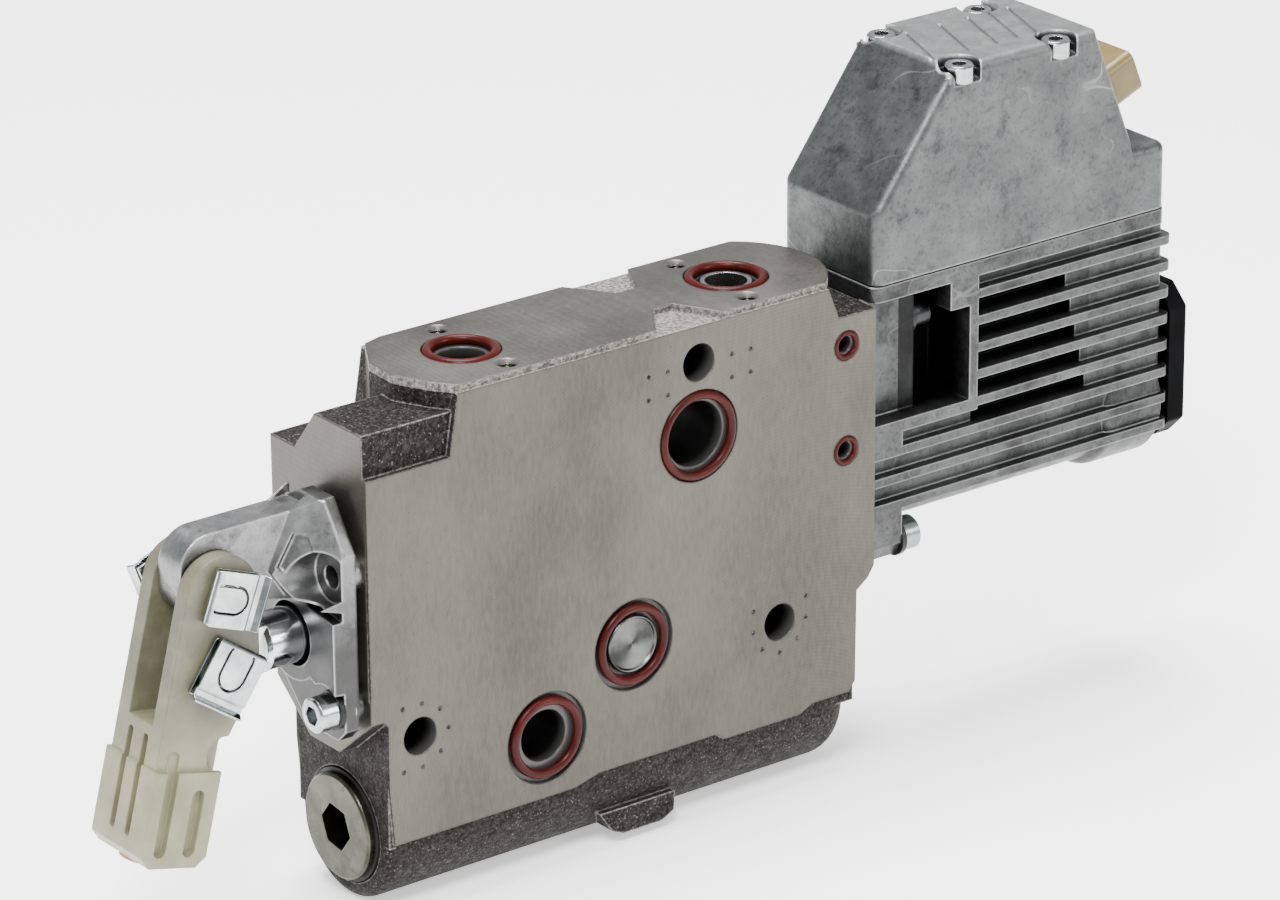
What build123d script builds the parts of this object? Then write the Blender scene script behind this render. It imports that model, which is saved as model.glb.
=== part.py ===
from build123d import *
import math
import os

# Hydraulic control valve: one cast section of a stacked block, with a spool worked by a hand lever on the
# left and by an electrohydraulic actuator on the right. Millimetres, +X along the spool towards the
# actuator, +Z up. The origin is the centre of the pressure gallery, on the middle plane of the section.

# Section block
section_width = 45.0
cast_width = 42.8
left_end = -111.7
right_end = 62.7
top_face = 34.2
lower_end_left = -106.0
lower_end_right = 56.0
lower_axis_z = -95.5
ledge_high = 26.9
ledge_low = 13.8
top_block_left = -90.0
top_block_right = 56.0
right_shoulder = 23.0

# Galleries and ports
pressure_radius = 9.6
tank_x, tank_z, tank_radius = -53.1, -76.4, 7.6
plug_x, plug_z = -23.0, -56.6
gallery_plug_radius = 8.5
gallery_plug_depth = 12.0
face_groove_radius = 13.5
face_groove_depth = 2.0
face_seal_radius = 11.85
face_seal_section = 2.65
port_a_x, port_b_x = -63.9, 27.0
port_radius = 7.0
port_a_groove_radius = 11.1
port_b_groove_radius = 12.1
port_groove_depth = 2.2
clip_sheet = 0.7
port_seal_section = 2.9
port_depth = 52.0
sleeve_radius = 7.3
sleeve_bore_radius = 6.0
sleeve_bottom = 4.0
sleeve_room_radius = 8.8
sleeve_room_depth = 10.0
throat_radius = 5.0
port_screw_offset_a, port_screw_offset_b = 3.6, -5.2
port_screw_half_span = 16.07
port_screw_radius = 2.5
port_screw_mouth = 3.45
port_screw_depth = 14.0
mark_reach = 9.4
mark_radius = 0.85
pilot_x, pilot_high_z, pilot_low_z = 52.3, 14.2, -17.5
pilot_radius = 2.5
pilot_depth = 14.0
pilot_groove_radius = 4.45
pilot_groove_depth = 1.3
pilot_seal_section = 1.6
tie_radius = 5.5
tie_places = [(0.0, 21.7), (28.5, -63.6), (-95.8, -63.8)]

# Spool and its bore
spool_z = -34.0
spool_radius = 8.0
running_gap = 0.03
chamber_radius = 11.0
chamber_width = 7.0
chamber_places = [-88.0, -63.9, -18.5, 27.0, 48.0]
groove_radius = 5.2
spool_travel = 7.0
spool_left = -134.0
tongue_half_width = 4.8
tongue_half_height = 7.0
tongue_reach = 8.0
rod_radius = 4.0
rod_socket_depth = 16.0
wiper_radius = 10.6
wiper_length = 5.0
spring_wire = 2.2
spring_radius = 9.5
spring_turns = 5
collar_thickness = 4.0
collar_hub_length = 10.0
collar_hub_wall = 2.6
collar_gap = 0.8

# Lever, its pins and the bracket
pin_x = -150.5
pivot_z = -12.0
pin_radius = 4.0
pin_gap = 0.05
link_slack = 0.3
lever_tilt = 14.2
lever_head_radius = 11.2
cheek_outer = 10.7
cheek_inner = 5.8
grip_half_width = 12.2
lever_length = 76.0
fork_depth = 37.0
grip_start = 49.0
insert_radius = 7.5
clip_leg_gap = 2.5
pivot_clip_length, pivot_clip_width, pivot_clip_offset = 16.8, 15.5, 3.1
link_clip_length, link_clip_width, link_clip_offset = 18.3, 17.4, 1.1
groove_depth = 2.2
arm_half_width = 5.2
arm_top = 3.9
arm_left = -160.0
plate_front = -118.8
plate_thickness = 4.6
plate_half_width = 20.4
plate_top = 7.4
plate_top_reach = 11.0
plate_slope_foot = -6.6
wing_crest_x = -124.9
spacer_radius = 5.0
scoop_radius = 7.4
bolt_y = 15.6
bolt_high_z, bolt_low_z = -13.2, -51.8
bolt_radius = 3.0
bolt_hole_radius = 3.3
bolt_head_radius = 5.0
bolt_head_height = 6.0
hex_socket_flats = 5.0
thread_reach = 11.0
washer_radius = 5.6
washer_thickness = 1.6
bracket_bore_radius = 9.3
bracket_ring_radius = 13.4
bracket_pad = 3.2

# Compensator bore and its closing plug
compensator_radius = 9.0
compensator_bore_end = -20.0
compensator_length = 46.0
compensator_travel = 6.0
compensator_spring_radius = 6.0
compensator_spring_wire = 2.0
metering_groove = 8.0
plug_thread_radius = 13.0
plug_thread_length = 12.0
plug_head_radius = 15.3
plug_head_height = 2.4
plug_hex_flats = 12.0
plug_seal_radius = 16.4
plug_seal_thickness = 1.6
plug_recess_depth = 1.0

# Actuator
housing_left = 63.1
housing_right = 175.4
housing_half_width = 21.0
parting_z = 27.8
flange_height = 4.6
fin_count = 8
fin_pitch = 8.2
fin_thickness = 2.7
fin_top_z = 17.7
fin_reach = 3.4
fin_overhang = 2.0
louvre_left, louvre_right = 101.6, 137.0
post_width = 3.0
louvre_depth = 9.0
pocket_floor_z = -13.9
chamber_bore_radius = 13.0
chamber_right = 140.0
chamber_wall = 4.2
end_boss_left = 151.5
end_boss_radius = 19.5
gasket_thickness = 0.5
cover_wall = 2.6
cover_top = 87.2
cover_knee_left = 49.0
cover_top_left = 91.8
cover_top_right = 144.6
cover_right = 172.3
cover_shoulder = 48.3
cover_shoulder_left = 160.2
cover_screw_x = [96.4, 132.0]
cover_screw_radius = 2.5
cover_head_radius = 4.25
cover_head_height = 5.0
cover_pocket_radius = 6.0
cap_top, cap_bottom = 1.6, -46.0
cap_thickness = 6.8
cap_corner = 6.2
lug_bottom = -56.5
lug_reach = 11.0
pocket_seat = 20.0
housing_bolt_inset = 5.0
head_clearance = 0.2
ear_reach, ear_bottom = 7.2, 14.8
sill_fin = 5
sill_thickness = 3.6
sill_recess_depth = 3.0
upper_bolt_y = 8.6
pocket_web = 2.5
housing_bolt_z = -51.5
board_clearance = 5.0
board_thickness = 1.6
coil_z = 4.0
coil_radius = 8.6
coil_length = 25.0
coil_places = [106.0, 138.0]
armature_radius = 4.0
armature_travel = 1.0
upper_housing_bolt_z = 12.0
rod_end = 146.0
sensor_core_radius = 2.5
sensor_core_length = 10.0
sensor_radius = 8.0
sensor_end = 166.0
board_left, board_right = 70.0, 160.0
connector_width, connector_height = 20.0, 13.4
connector_inside, connector_outside = 8.0, 15.8
connector_mouth = 10.0
connector_share = 0.67
contact_gap = 0.02
board_width = 30.0
chip_side = 12.0
capacitor_radius, capacitor_height = 4.0, 9.0
header_width = 18.0

half_width = section_width / 2
cover_screw_y = housing_half_width - 3.9
cap_half_width = housing_half_width - 0.6
cast_half = cast_width / 2
housing_bolt_y = housing_half_width - housing_bolt_inset


def along_x(profile, start, end):
    """Profile drawn in Y and Z, carried from start to end along X."""
    return extrude(Plane.YZ.offset(start) * profile, end - start)


def along_y(profile, start, end):
    """Profile drawn in X and Z, carried from start to end along Y."""
    return extrude(Plane.XZ.offset(-end) * profile, end - start)


def along_z(profile, start, end):
    """Profile drawn in X and Y, carried from start to end along Z."""
    return extrude(Plane.XY.offset(start) * profile, end - start)


def rod_x(y, z, radius, start, end):
    return along_x(Pos(y, z) * Circle(radius), start, end)


def rod_y(x, z, radius, start, end):
    return along_y(Pos(x, z) * Circle(radius), start, end)


def rod_z(x, y, radius, start, end):
    return along_z(Pos(x, y) * Circle(radius), start, end)


def outline(points):
    return make_face(Polyline(*points, close=True))


def ring_section(radius, section):
    """Half-plane section of a ring seal, with twelve sides."""
    return Pos(radius, 0) * RegularPolygon(section / 2, 12)


def ring_y(x, z, radius, section, y):
    """Ring seal with its axis along Y."""
    return Pos(x, y, z) * revolve(ring_section(radius, section), Axis.Y)


def ring_z(x, y, z, radius, section):
    """Ring seal with its axis along Z."""
    return Pos(x, y, z) * Rot(90, 0, 0) * revolve(ring_section(radius, section), Axis.Y)


def coil_spring(radius, wire, length, turns):
    """Die spring of rectangular wire, wound about X from the origin."""
    path = Helix(pitch=(length - wire) / turns, height=length - wire, radius=radius)
    frame = Plane(origin=path @ 0, x_dir=(1, 0, 0), z_dir=path % 0)
    coil = sweep(frame * Rectangle(wire, wire * 0.9), path=path, is_frenet=True)
    return Rot(0, 90, 0) * Pos(0, 0, wire / 2) * coil


def write(name, shape):
    """One STEP file for each node; a group of like pieces is written as one compound."""
    solids = list(shape.solids())
    piece = solids[0] if len(solids) == 1 else Compound(children=solids)
    piece.label = name
    export_step(piece, f"parts/{name}.step")


# Cast section with its galleries, bores and sealing faces

def face_outline():
    """Machined sealing face, the same on both sides of the section."""
    step = 2.2
    bottom = lower_axis_z + 1.2
    return outline([
        (left_end, ledge_low + 0.6), (-84.2, ledge_low + 0.8), (-81.2, top_face - 1.8), (45.7, top_face - 1.8),
        (49.4, right_shoulder), (right_end, right_shoulder), (right_end, -55.0), (60.5, -58.3),
        (lower_end_right + 0.4, -61.3), (lower_end_right, bottom + step + 3), (53.8, bottom + step),
        (40.3, bottom + step), (35.9, bottom), (8.9, bottom), (5.7, bottom + step), (-35.2, bottom + step),
        (-43.9, bottom), (lower_end_left + 1.3, bottom), (lower_end_left, -77.0), (lower_end_left, -58.5),
        (left_end + 0.2, -52.3)])


def top_plan():
    front, back, nose_x = -cast_half, cast_half, 45.0
    side = Polyline((nose_x, back), (-76, back), (-82, 19.6), (-89.5, 7), (top_block_left, -5), (-85, -15.3),
                    (-80.4, front), (nose_x, front))
    nose = ThreePointArc((nose_x, front), (top_block_right, 0), (nose_x, back))
    return make_face(side.edges() + nose.edges())


def top_pocket(side):
    """Scalloped casting pocket in the top edge, on the front (-1) or the back (1)."""
    edge = side * cast_half
    plan = outline([(-14.0, edge), (-4.9, side * 8.0), (1.8, side * 8.0), (8.8, edge)])
    return along_z(plan, top_face - 5.0, top_face + 1)


def casting():
    core = along_y(outline([
        (left_end, ledge_low), (-80, ledge_low), (-80, right_shoulder), (right_end, right_shoulder),
        (right_end, -55), (60.5, -58.3), (lower_end_right, -61.3), (lower_end_right, lower_axis_z),
        (lower_end_left, lower_axis_z), (lower_end_left, -58.5), (left_end, -52.3)]), -cast_half, cast_half)
    ledge = along_x(outline([
        (-cast_half + 0.9, ledge_low - 2), (-cast_half + 0.9, ledge_high), (1.1, ledge_high), (5.1, 21.6),
        (10.1, 15.4), (12.6, ledge_low - 2)]), left_end, -78)
    barrel = rod_x(0, lower_axis_z, cast_half, lower_end_left, lower_end_right)
    barrel = fillet(barrel.edges().filter_by(GeomType.CIRCLE).sort_by(Axis.X)[-1], 8)
    barrel = fillet(barrel.edges().filter_by(GeomType.CIRCLE).sort_by(Axis.X)[0], 3)
    body = core + ledge + barrel + along_z(top_plan(), ledge_low - 4, top_face)
    for side in (-1, 1):
        body -= top_pocket(side)
    end_pad = along_x(outline([
        (-half_width, -50), (-half_width, -56.6), (-7.0, -69.7), (7.0, -69.7), (half_width, -56.6),
        (half_width, -50)]), left_end, lower_end_left + 2)
    tab = along_y(outline([
        (-34.2, -106), (-30, -112.2), (-26, -114.0), (-12.4, -114.0), (-8.2, -111.8), (-7.8, -106)]),
        -cast_half + 0.5, -cast_half + 9)
    return body + end_pad + tab + along_y(face_outline(), -half_width, half_width)


def spool_cuts():
    cuts = rod_x(0, spool_z, spool_radius + running_gap, left_end - 1, right_end + 1)
    for place in chamber_places:
        cuts += rod_x(0, spool_z, chamber_radius, place - chamber_width / 2, place + chamber_width / 2)
    wiper_room = rod_x(0, spool_z, wiper_radius, left_end - 1, left_end + wiper_length)
    return cuts + wiper_room


def gallery_cuts():
    through = half_width + 1
    groove_floor = -half_width + face_groove_depth
    cuts = rod_y(0, 0, pressure_radius, -through, through)
    cuts += rod_y(tank_x, tank_z, tank_radius, -through, through)
    for x, z in ((0, 0), (tank_x, tank_z), (plug_x, plug_z)):
        cuts += rod_y(x, z, face_groove_radius, -through, groove_floor)
    plug_room = -half_width + gallery_plug_depth + 4
    cuts += rod_y(plug_x, plug_z, gallery_plug_radius + contact_gap, -through, plug_room)
    for z in (pilot_high_z, pilot_low_z):
        cuts += rod_y(pilot_x, z, pilot_groove_radius, -through, -half_width + pilot_groove_depth)
        cuts += rod_y(pilot_x, z, pilot_radius, -through, -half_width + pilot_depth)
    for x, z in tie_places:
        cuts += rod_y(x, z, tie_radius, -through, through)
    return cuts


def mark_cuts():
    """Small conical marks: a cup of seven at both lower tie-rod holes and two squares at the top one."""
    near, far = 0.67 * mark_reach, 0.72 * mark_reach
    cup = [(-mark_reach, 5.6), (-mark_reach, -0.8), (-near, -far), (0, -mark_reach), (near, -far),
           (mark_reach, -0.8), (mark_reach, 5.6)]
    (top_x, top_z), (right_x, right_z), (left_x, left_z) = tie_places
    places = [(right_x + x, right_z + z) for x, z in cup] + [(left_x - z, left_z + x) for x, z in cup]
    places += [(top_x + 0.4 + x, top_z - z) for x in (-17.7, -11.1, 11.1, 17.7) for z in (0.2, 7.0)]
    cuts = None
    for x, z in places:
        cone = Pos(x, -half_width + 0.3, z) * Rot(90, 0, 0) * Cone(0.1, mark_radius, 0.8)
        cuts = cone if cuts is None else cuts + cone
    return cuts


def port_cuts():
    over = top_face + 1
    floor = top_face - port_groove_depth
    cuts = rod_z(port_a_x, 0, port_radius, top_face - port_depth, over)
    cuts += rod_z(port_b_x, 0, sleeve_radius + contact_gap, sleeve_bottom, over)
    cuts += rod_z(port_b_x, 0, sleeve_room_radius, top_face - sleeve_room_depth, over)
    cuts += rod_z(port_a_x, 0, port_a_groove_radius, floor, over)
    cuts += rod_z(port_b_x, 0, port_b_groove_radius, floor, over)
    for x in (port_a_x, port_b_x):
        cuts += rod_z(x, 0, throat_radius, spool_z, top_face - 10)
    for x in (port_a_x + port_screw_offset_a, port_b_x + port_screw_offset_b):
        for side in (-1, 1):
            y = side * port_screw_half_span
            cuts += rod_z(x, y, port_screw_radius, top_face - port_screw_depth, over)
            mouth = Pos(x, y, top_face - 0.5) * Cone(port_screw_radius, port_screw_mouth, 1.0)
            cuts += mouth
    return cuts


def compensator_cuts():
    mouth = lower_end_left
    cuts = rod_x(0, lower_axis_z, compensator_radius + running_gap, mouth - 1, compensator_bore_end)
    cuts += rod_x(0, lower_axis_z, plug_thread_radius + contact_gap, mouth - 1, mouth + plug_thread_length + 2)
    cuts += rod_x(0, lower_axis_z, plug_seal_radius + 0.4, mouth - 1, mouth + plug_recess_depth)
    cuts += rod_z(plug_x - 15, 0, 4.5, lower_axis_z, spool_z)
    return cuts


def thread_cuts():
    """Tapped holes for the lever bracket and for the actuator, in the two end faces."""
    depth = thread_reach + 3
    cuts = rod_x(0, spool_z, chamber_radius, right_end - 2, right_end + 1)
    for y, z in bracket_bolt_places():
        cuts += rod_x(y, z, port_screw_radius, left_end - 1, left_end + depth)
    for y, z, _ in housing_bolt_seats():
        cuts += rod_x(y, z, port_screw_radius, right_end - depth, right_end + 1)
    return cuts


def valve_body():
    body = casting() - spool_cuts() - gallery_cuts() - port_cuts()
    return body - compensator_cuts() - thread_cuts() - mark_cuts()


# Seals, plugs and the pieces inside the section

def pressure_seal():
    return ring_y(0, 0, face_seal_radius, face_seal_section, seal_y(face_seal_section))


def seal_y(section):
    """Middle of a ring that lies on its groove's floor in the front face."""
    return -half_width + face_groove_depth - section / 2


def tank_seal():
    return ring_y(tank_x, tank_z, face_seal_radius - 1.05, face_seal_section, seal_y(face_seal_section))


def plugged_gallery_seal():
    return ring_y(plug_x, plug_z, face_seal_radius - 1.05, face_seal_section, seal_y(face_seal_section))


def pilot_seals():
    radius = pilot_groove_radius - pilot_seal_section / 2
    y = -half_width + pilot_groove_depth - pilot_seal_section / 2
    high = ring_y(pilot_x, pilot_high_z, radius, pilot_seal_section, y)
    low = ring_y(pilot_x, pilot_low_z, radius, pilot_seal_section, y)
    return Compound(children=[high, low])


def port_seal(x, outer_radius):
    z = top_face - port_groove_depth + port_seal_section / 2
    return ring_z(x, 0, z, outer_radius - 0.2 - port_seal_section / 2, port_seal_section)


def port_b_sleeve():
    top = top_face - 1.2
    return rod_z(port_b_x, 0, sleeve_radius, sleeve_bottom, top) - rod_z(
        port_b_x, 0, sleeve_bore_radius, sleeve_bottom - 1, top + 1)


def gallery_plug():
    """Turned steel plug with a raised rim, a shallow coned face and a centre mark."""
    front = 0.3
    rim = gallery_plug_radius - 1.2
    profile = outline([
        (0, front + 0.9), (0.8, front + 0.5), (rim, front + 0.6), (rim + 0.4, front),
        (gallery_plug_radius - 0.4, front), (gallery_plug_radius, front + 0.4),
        (gallery_plug_radius, gallery_plug_depth), (0, gallery_plug_depth)])
    turned = revolve(Plane.XY * profile, Axis.Y)
    return Pos(plug_x, -half_width, plug_z) * turned


def closing_plug():
    """Screwed plug with a bevelled head and a hexagon socket."""
    back = lower_end_left + plug_recess_depth - plug_seal_thickness
    face = back - plug_head_height
    plug = rod_x(0, lower_axis_z, plug_head_radius, face, back)
    plug = chamfer(plug.edges().filter_by(GeomType.CIRCLE).sort_by(Axis.X)[0], 0.7)
    plug += rod_x(0, lower_axis_z, plug_thread_radius, back, lower_end_left + plug_thread_length)
    socket = Pos(0, lower_axis_z) * Rot(0, 0, 8) * RegularPolygon(plug_hex_flats / 2, 6, major_radius=False)
    return plug - along_x(socket, face - 1, face + 9)


def closing_plug_seal():
    floor = lower_end_left + plug_recess_depth
    ring = rod_x(0, lower_axis_z, plug_seal_radius, floor - plug_seal_thickness, floor)
    return ring - rod_x(0, lower_axis_z, plug_thread_radius + contact_gap, floor - 3, floor + 1)


def compensator_spool():
    """Metering piston with two control grooves, hollow towards its spring."""
    start = compensator_bore_end - compensator_length - 0.1
    piston = rod_x(0, lower_axis_z, compensator_radius, start, compensator_bore_end - 0.1)
    for place in (start + 1.5 * metering_groove, start + 3.8 * metering_groove):
        cutter = rod_x(0, lower_axis_z, compensator_radius + 1, place, place + metering_groove)
        piston -= cutter - rod_x(0, lower_axis_z, groove_radius, place - 1, place + metering_groove + 1)
    return piston - rod_x(0, lower_axis_z, 3.0, start - 1, start + 0.55 * compensator_length)


def compensator_spring():
    start = lower_end_left + plug_thread_length
    end = compensator_bore_end - compensator_length - 0.1
    return Pos(start, 0, lower_axis_z) * coil_spring(
        compensator_spring_radius, compensator_spring_wire, end - start, spring_turns)


def spool_wiper():
    ring = rod_x(0, spool_z, wiper_radius - contact_gap, left_end + 0.3, left_end + wiper_length)
    return ring - rod_x(0, spool_z, spool_radius + 0.06, left_end - 1, left_end + wiper_length + 1)


# Spool, with the eye for the lever at its left end and the centring rod at its right end

def main_spool():
    body = rod_x(0, spool_z, spool_radius, spool_left, right_end - 1)
    body = chamfer(body.edges().filter_by(GeomType.CIRCLE), 1.2)
    gaps = [(a + chamber_width / 2 + 2.5, b - chamber_width / 2 - 2.5)
            for a, b in zip(chamber_places, chamber_places[1:])]
    for start, end in gaps:
        cutter = rod_x(0, spool_z, spool_radius + 1, start, end)
        body -= cutter - rod_x(0, spool_z, groove_radius, start - 1, end + 1)
        for turn in range(4):
            notch = Pos(start, 0, spool_z) * Rot(90 * turn, 0, 0) * Pos(0, 0, spool_radius) * Sphere(1.6)
            body -= notch
    tongue = along_x(Pos(0, spool_z) * Rectangle(2 * tongue_half_width, 2 * tongue_half_height - 0.8),
                     pin_x - 0.1, spool_left + 1.2)
    eye = rod_y(pin_x, spool_z, tongue_half_height - 0.4, -tongue_half_width, tongue_half_width)
    slot_rise = link_radius_rise() + link_slack
    slot = along_y(Pos(pin_x, spool_z + slot_rise / 2) * Rot(0, 0, 90) * SlotCenterToCenter(
        slot_rise, 2 * (pin_radius + link_slack)), -tongue_half_width - 1, tongue_half_width + 1)
    rod_socket = rod_x(0, spool_z, rod_radius + contact_gap, right_end - rod_socket_depth, right_end)
    return body + tongue + eye - slot - rod_socket


def link_radius_rise():
    """How far the link pin rises as the lever swings from rest to its limit."""
    reach = pivot_z - spool_z
    return reach * (1 - math.cos(spool_travel / reach))


def spool_rod():
    """Rod screwed into the spool's end, with the shoulder that its centring collar rests on."""
    rod = rod_x(0, spool_z, rod_radius, right_end - rod_socket_depth + 0.1, rod_end)
    return chamfer(rod.edges().filter_by(GeomType.CIRCLE).sort_by(Axis.X)[-1], 0.8)


def collar_middle():
    return (housing_left + chamber_right) / 2


def centring_collar():
    middle = collar_middle()
    disc_half, hub_half = collar_thickness / 2, collar_hub_length / 2
    disc = rod_x(0, spool_z, chamber_bore_radius - collar_gap, middle - disc_half, middle + disc_half)
    hub = rod_x(0, spool_z, rod_radius + collar_hub_wall, middle - hub_half, middle + hub_half)
    return disc + hub - rod_x(0, spool_z, rod_radius + contact_gap, middle - hub_half - 1, middle + hub_half + 1)


def centring_spring_left():
    start, end = housing_left, collar_middle() - collar_thickness / 2
    spring = coil_spring(spring_radius, spring_wire, end - start - 0.1, spring_turns)
    return Pos(start + 0.05, 0, spool_z) * spring


def centring_spring_right():
    start, end = collar_middle() + collar_thickness / 2, chamber_right
    spring = coil_spring(spring_radius, spring_wire, end - start - 0.1, spring_turns)
    return Pos(start + 0.05, 0, spool_z) * spring


def sensor_core():
    """Iron core of the position sensor, carried on the end of the spool rod."""
    return rod_x(0, spool_z, sensor_core_radius, rod_end, rod_end + sensor_core_length)


def sensor_coil():
    coil = rod_x(0, spool_z, sensor_radius, chamber_right + chamber_wall, sensor_end)
    return coil - rod_x(0, spool_z, rod_radius + 0.6, chamber_right, sensor_end - 1.5)


# Lever, its pins and clips, and the bracket that carries it

def lever_place(v, u):
    """Point in X and Z that lies v across and u along the tilted lever, from its pivot."""
    turn = math.radians(lever_tilt)
    return (pin_x + v * math.cos(turn) - u * math.sin(turn), pivot_z - v * math.sin(turn) - u * math.cos(turn))


def lever_outline(left, right, tip):
    """Side view of the lever, as a head round the pivot, a bulge round the link pin and a grip."""
    link_x, link_z = pin_x, spool_z
    bulge = lever_head_radius
    head = Pos(pin_x, pivot_z) * Circle(lever_head_radius)
    link = Pos(link_x, link_z) * Circle(bulge)
    waist = outline([
        lever_place(left, 0), (pin_x + bulge, pivot_z), (link_x + bulge, link_z),
        (link_x + 0.72 * bulge, link_z - 0.7 * bulge),
        lever_place(right + 1.2, fork_depth + 2.5), lever_place(right, fork_depth + 4.5),
        lever_place(right, tip), lever_place(left, tip)])
    return head + link + waist


def lever():
    left, right = -lever_head_radius, 9.3
    tip = lever_length - 3
    body = along_y(lever_outline(left, right, tip), -cheek_outer, cheek_outer)
    body += along_y(outline([
        lever_place(left - 0.6, grip_start), lever_place(right, grip_start), lever_place(right, tip),
        lever_place(right - 3, lever_length), lever_place(left + 2.4, lever_length),
        lever_place(left - 0.6, tip)]),
        -grip_half_width, grip_half_width)
    body -= along_y(outline([
        lever_place(-40, -30), lever_place(40, -30), lever_place(40, fork_depth - 2.5),
        lever_place(-40, fork_depth + 2.5)]), -cheek_inner, cheek_inner)
    for side in (-1, 1):
        body -= side_pocket(right, side)
        body -= grip_groove(-6.2, grip_start - 5.5, tip, side) + grip_groove(3.2, grip_start + 5, tip, side)
        body -= end_groove(left, side * 3.6)
    for z in (pivot_z, spool_z):
        body -= rod_y(pin_x, z, pin_radius + contact_gap, -cheek_outer - 1, cheek_outer + 1)
    bottom = lever_frame(-1.2, lever_length) * Pos(0, 0, -6)
    return body - bottom * Cylinder(insert_radius + contact_gap, 24)


def lever_frame(v, u):
    """Place at v, u on the middle plane, with its Z along the lever towards the pivot."""
    x, z = lever_place(v, u)
    return Pos(x, 0, z) * Rot(0, lever_tilt, 0)


def grip_groove(v, start, end, side):
    """Round-bottomed finger groove along a side face of the grip."""
    depth, radius = groove_depth, 1.9
    top = lever_place(v, start)
    bottom = lever_place(v, end)
    y = side * grip_half_width
    run = math.dist(top, bottom)
    shape = SlotCenterToCenter(run - 2 * radius, 2 * radius)
    middle = ((top[0] + bottom[0]) / 2, (top[1] + bottom[1]) / 2)
    placed = Pos(*middle) * Rot(0, 0, 90 - lever_tilt) * shape
    return along_y(placed, min(y, y - side * depth), max(y, y - side * depth))


def side_pocket(right, side):
    """Scalloped relief in the cheek, between the link pin and the grip."""
    x, z = lever_place(right + 1.0, (fork_depth + grip_start) / 2 + 2)
    y = side * cheek_outer
    return along_y(Pos(x, z) * Circle(5.6), min(y, y - side * 2.4), max(y, y - side * 2.4))


def end_groove(left, y):
    """Narrow groove with round ends in the outer end face of the lever."""
    top, bottom, width = grip_start - 8.5, lever_length - 6.5, 2.4
    x, z = lever_place(left - 1, (top + bottom) / 2)
    place = Pos(x, y, z) * Rot(0, lever_tilt, 0) * Rot(0, 90, 0)
    return place * extrude(SlotOverall(bottom - top, width), 1 + groove_depth)


def lever_insert():
    length = 7.0
    place = lever_frame(-1.2, lever_length - length / 2 + 1.0)
    return place * (Cylinder(insert_radius, length) - Pos(0, 0, -3) * Cylinder(3.4, length))


def pin(z):
    """Clevis pin with a groove for the clip at each end."""
    reach = cheek_outer + 2.2
    body = rod_y(pin_x, z, pin_radius, -reach, reach)
    body = chamfer(body.edges().filter_by(GeomType.CIRCLE), 0.5)
    for side in (-1, 1):
        start, end = sorted((side * (cheek_outer + 0.3), side * (cheek_outer + 1.3)))
        ring = rod_y(pin_x, z, pin_radius + 1, start, end) - rod_y(pin_x, z, pin_radius - 1, start, end)
        body -= ring
    return body


def clip_strip(inner, outer, left, right):
    """Side view of a clip: two legs joined by a round fold, the outer one ending in a raised lip."""
    bend = (outer - inner) / 2
    turn = left + bend
    path = [
        Line((right - 1.5, inner), (turn, inner)),
        ThreePointArc((turn, inner), (left, inner + bend), (turn, outer)),
        Polyline((turn, outer), (right - 4.4, outer), (right - 3.4, outer - 0.6), (right - 1.7, outer - 0.4),
                 (right - 0.4, outer + 1.3))]
    return trace(path, clip_sheet)


def clip(z, side, turn, length, width, offset):
    """Spring clip folded round one end: the inner leg grips the pin, the outer one has a U-cut tongue."""
    inner = cheek_outer + 0.45 + clip_sheet / 2
    outer = inner + clip_leg_gap
    left, right = offset - length / 2, offset + length / 2
    plate = extrude(Plane.XZ * clip_strip(inner, outer, left, right), width / 2, both=True)
    plan = Pos(offset, 0) * RectangleRounded(length + 2, width, 2.4)
    plate &= extrude(plan, outer + 4)
    grip = pin_radius - 0.9
    hook = Pos((right + 4 - grip) / 2, 0) * SlotOverall(right + 4 + grip, 2 * grip)
    plate -= extrude(hook, inner + 0.6)
    tongue = 0.27 * width
    slit = Pos(left + 0.3 * length, 0) * (
        SlotOverall(0.78 * length, 2 * tongue) - SlotOverall(0.78 * length - 1.6, 2 * tongue - 1.6))
    slit -= Pos(left + 1 - length / 2, 0) * Rectangle(length, 2 * width)
    plate -= extrude(Plane.XY.offset(outer - 0.6) * slit, 4)
    facing = Rot(90, 0, 0) if side < 0 else Rot(-90, 0, 0)
    return Pos(pin_x, 0, z) * facing * Rot(0, 0, turn) * plate


def pivot_clips():
    size = pivot_clip_length, pivot_clip_width, pivot_clip_offset
    return Compound(children=[clip(pivot_z, side, turn, *size) for side, turn in ((-1, -20.6), (1, 159.4))])


def link_clips():
    size = link_clip_length, link_clip_width, link_clip_offset
    return Compound(children=[clip(spool_z, side, turn, *size) for side, turn in ((-1, -125.0), (1, 55.0))])


def bracket_bolt_places():
    return [(-bolt_y, bolt_low_z), (bolt_y, bolt_high_z), (-bolt_y, bolt_high_z)]


def bracket_plate():
    low = bolt_low_z - 9.0
    shape = outline([
        (-plate_half_width, low + 3.5), (-plate_half_width, plate_slope_foot), (-plate_top_reach, plate_top),
        (-1.0, plate_top),
        (arm_half_width, arm_top), (plate_half_width, -5.5), (plate_half_width, -37.0), (-2.5, low),
        (-plate_half_width + 3.5, low)])
    plate = along_x(shape, plate_front, plate_front + plate_thickness)
    plate += rod_x(0, spool_z, bracket_ring_radius, plate_front - bracket_pad, plate_front + 1)
    return plate + along_x(outline([
        (-plate_half_width, -25.0), (-9.0, -23.5), (-9.0, -44.5), (-plate_half_width, -48.0)]),
        plate_front - bracket_pad, plate_front + 1)


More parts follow.
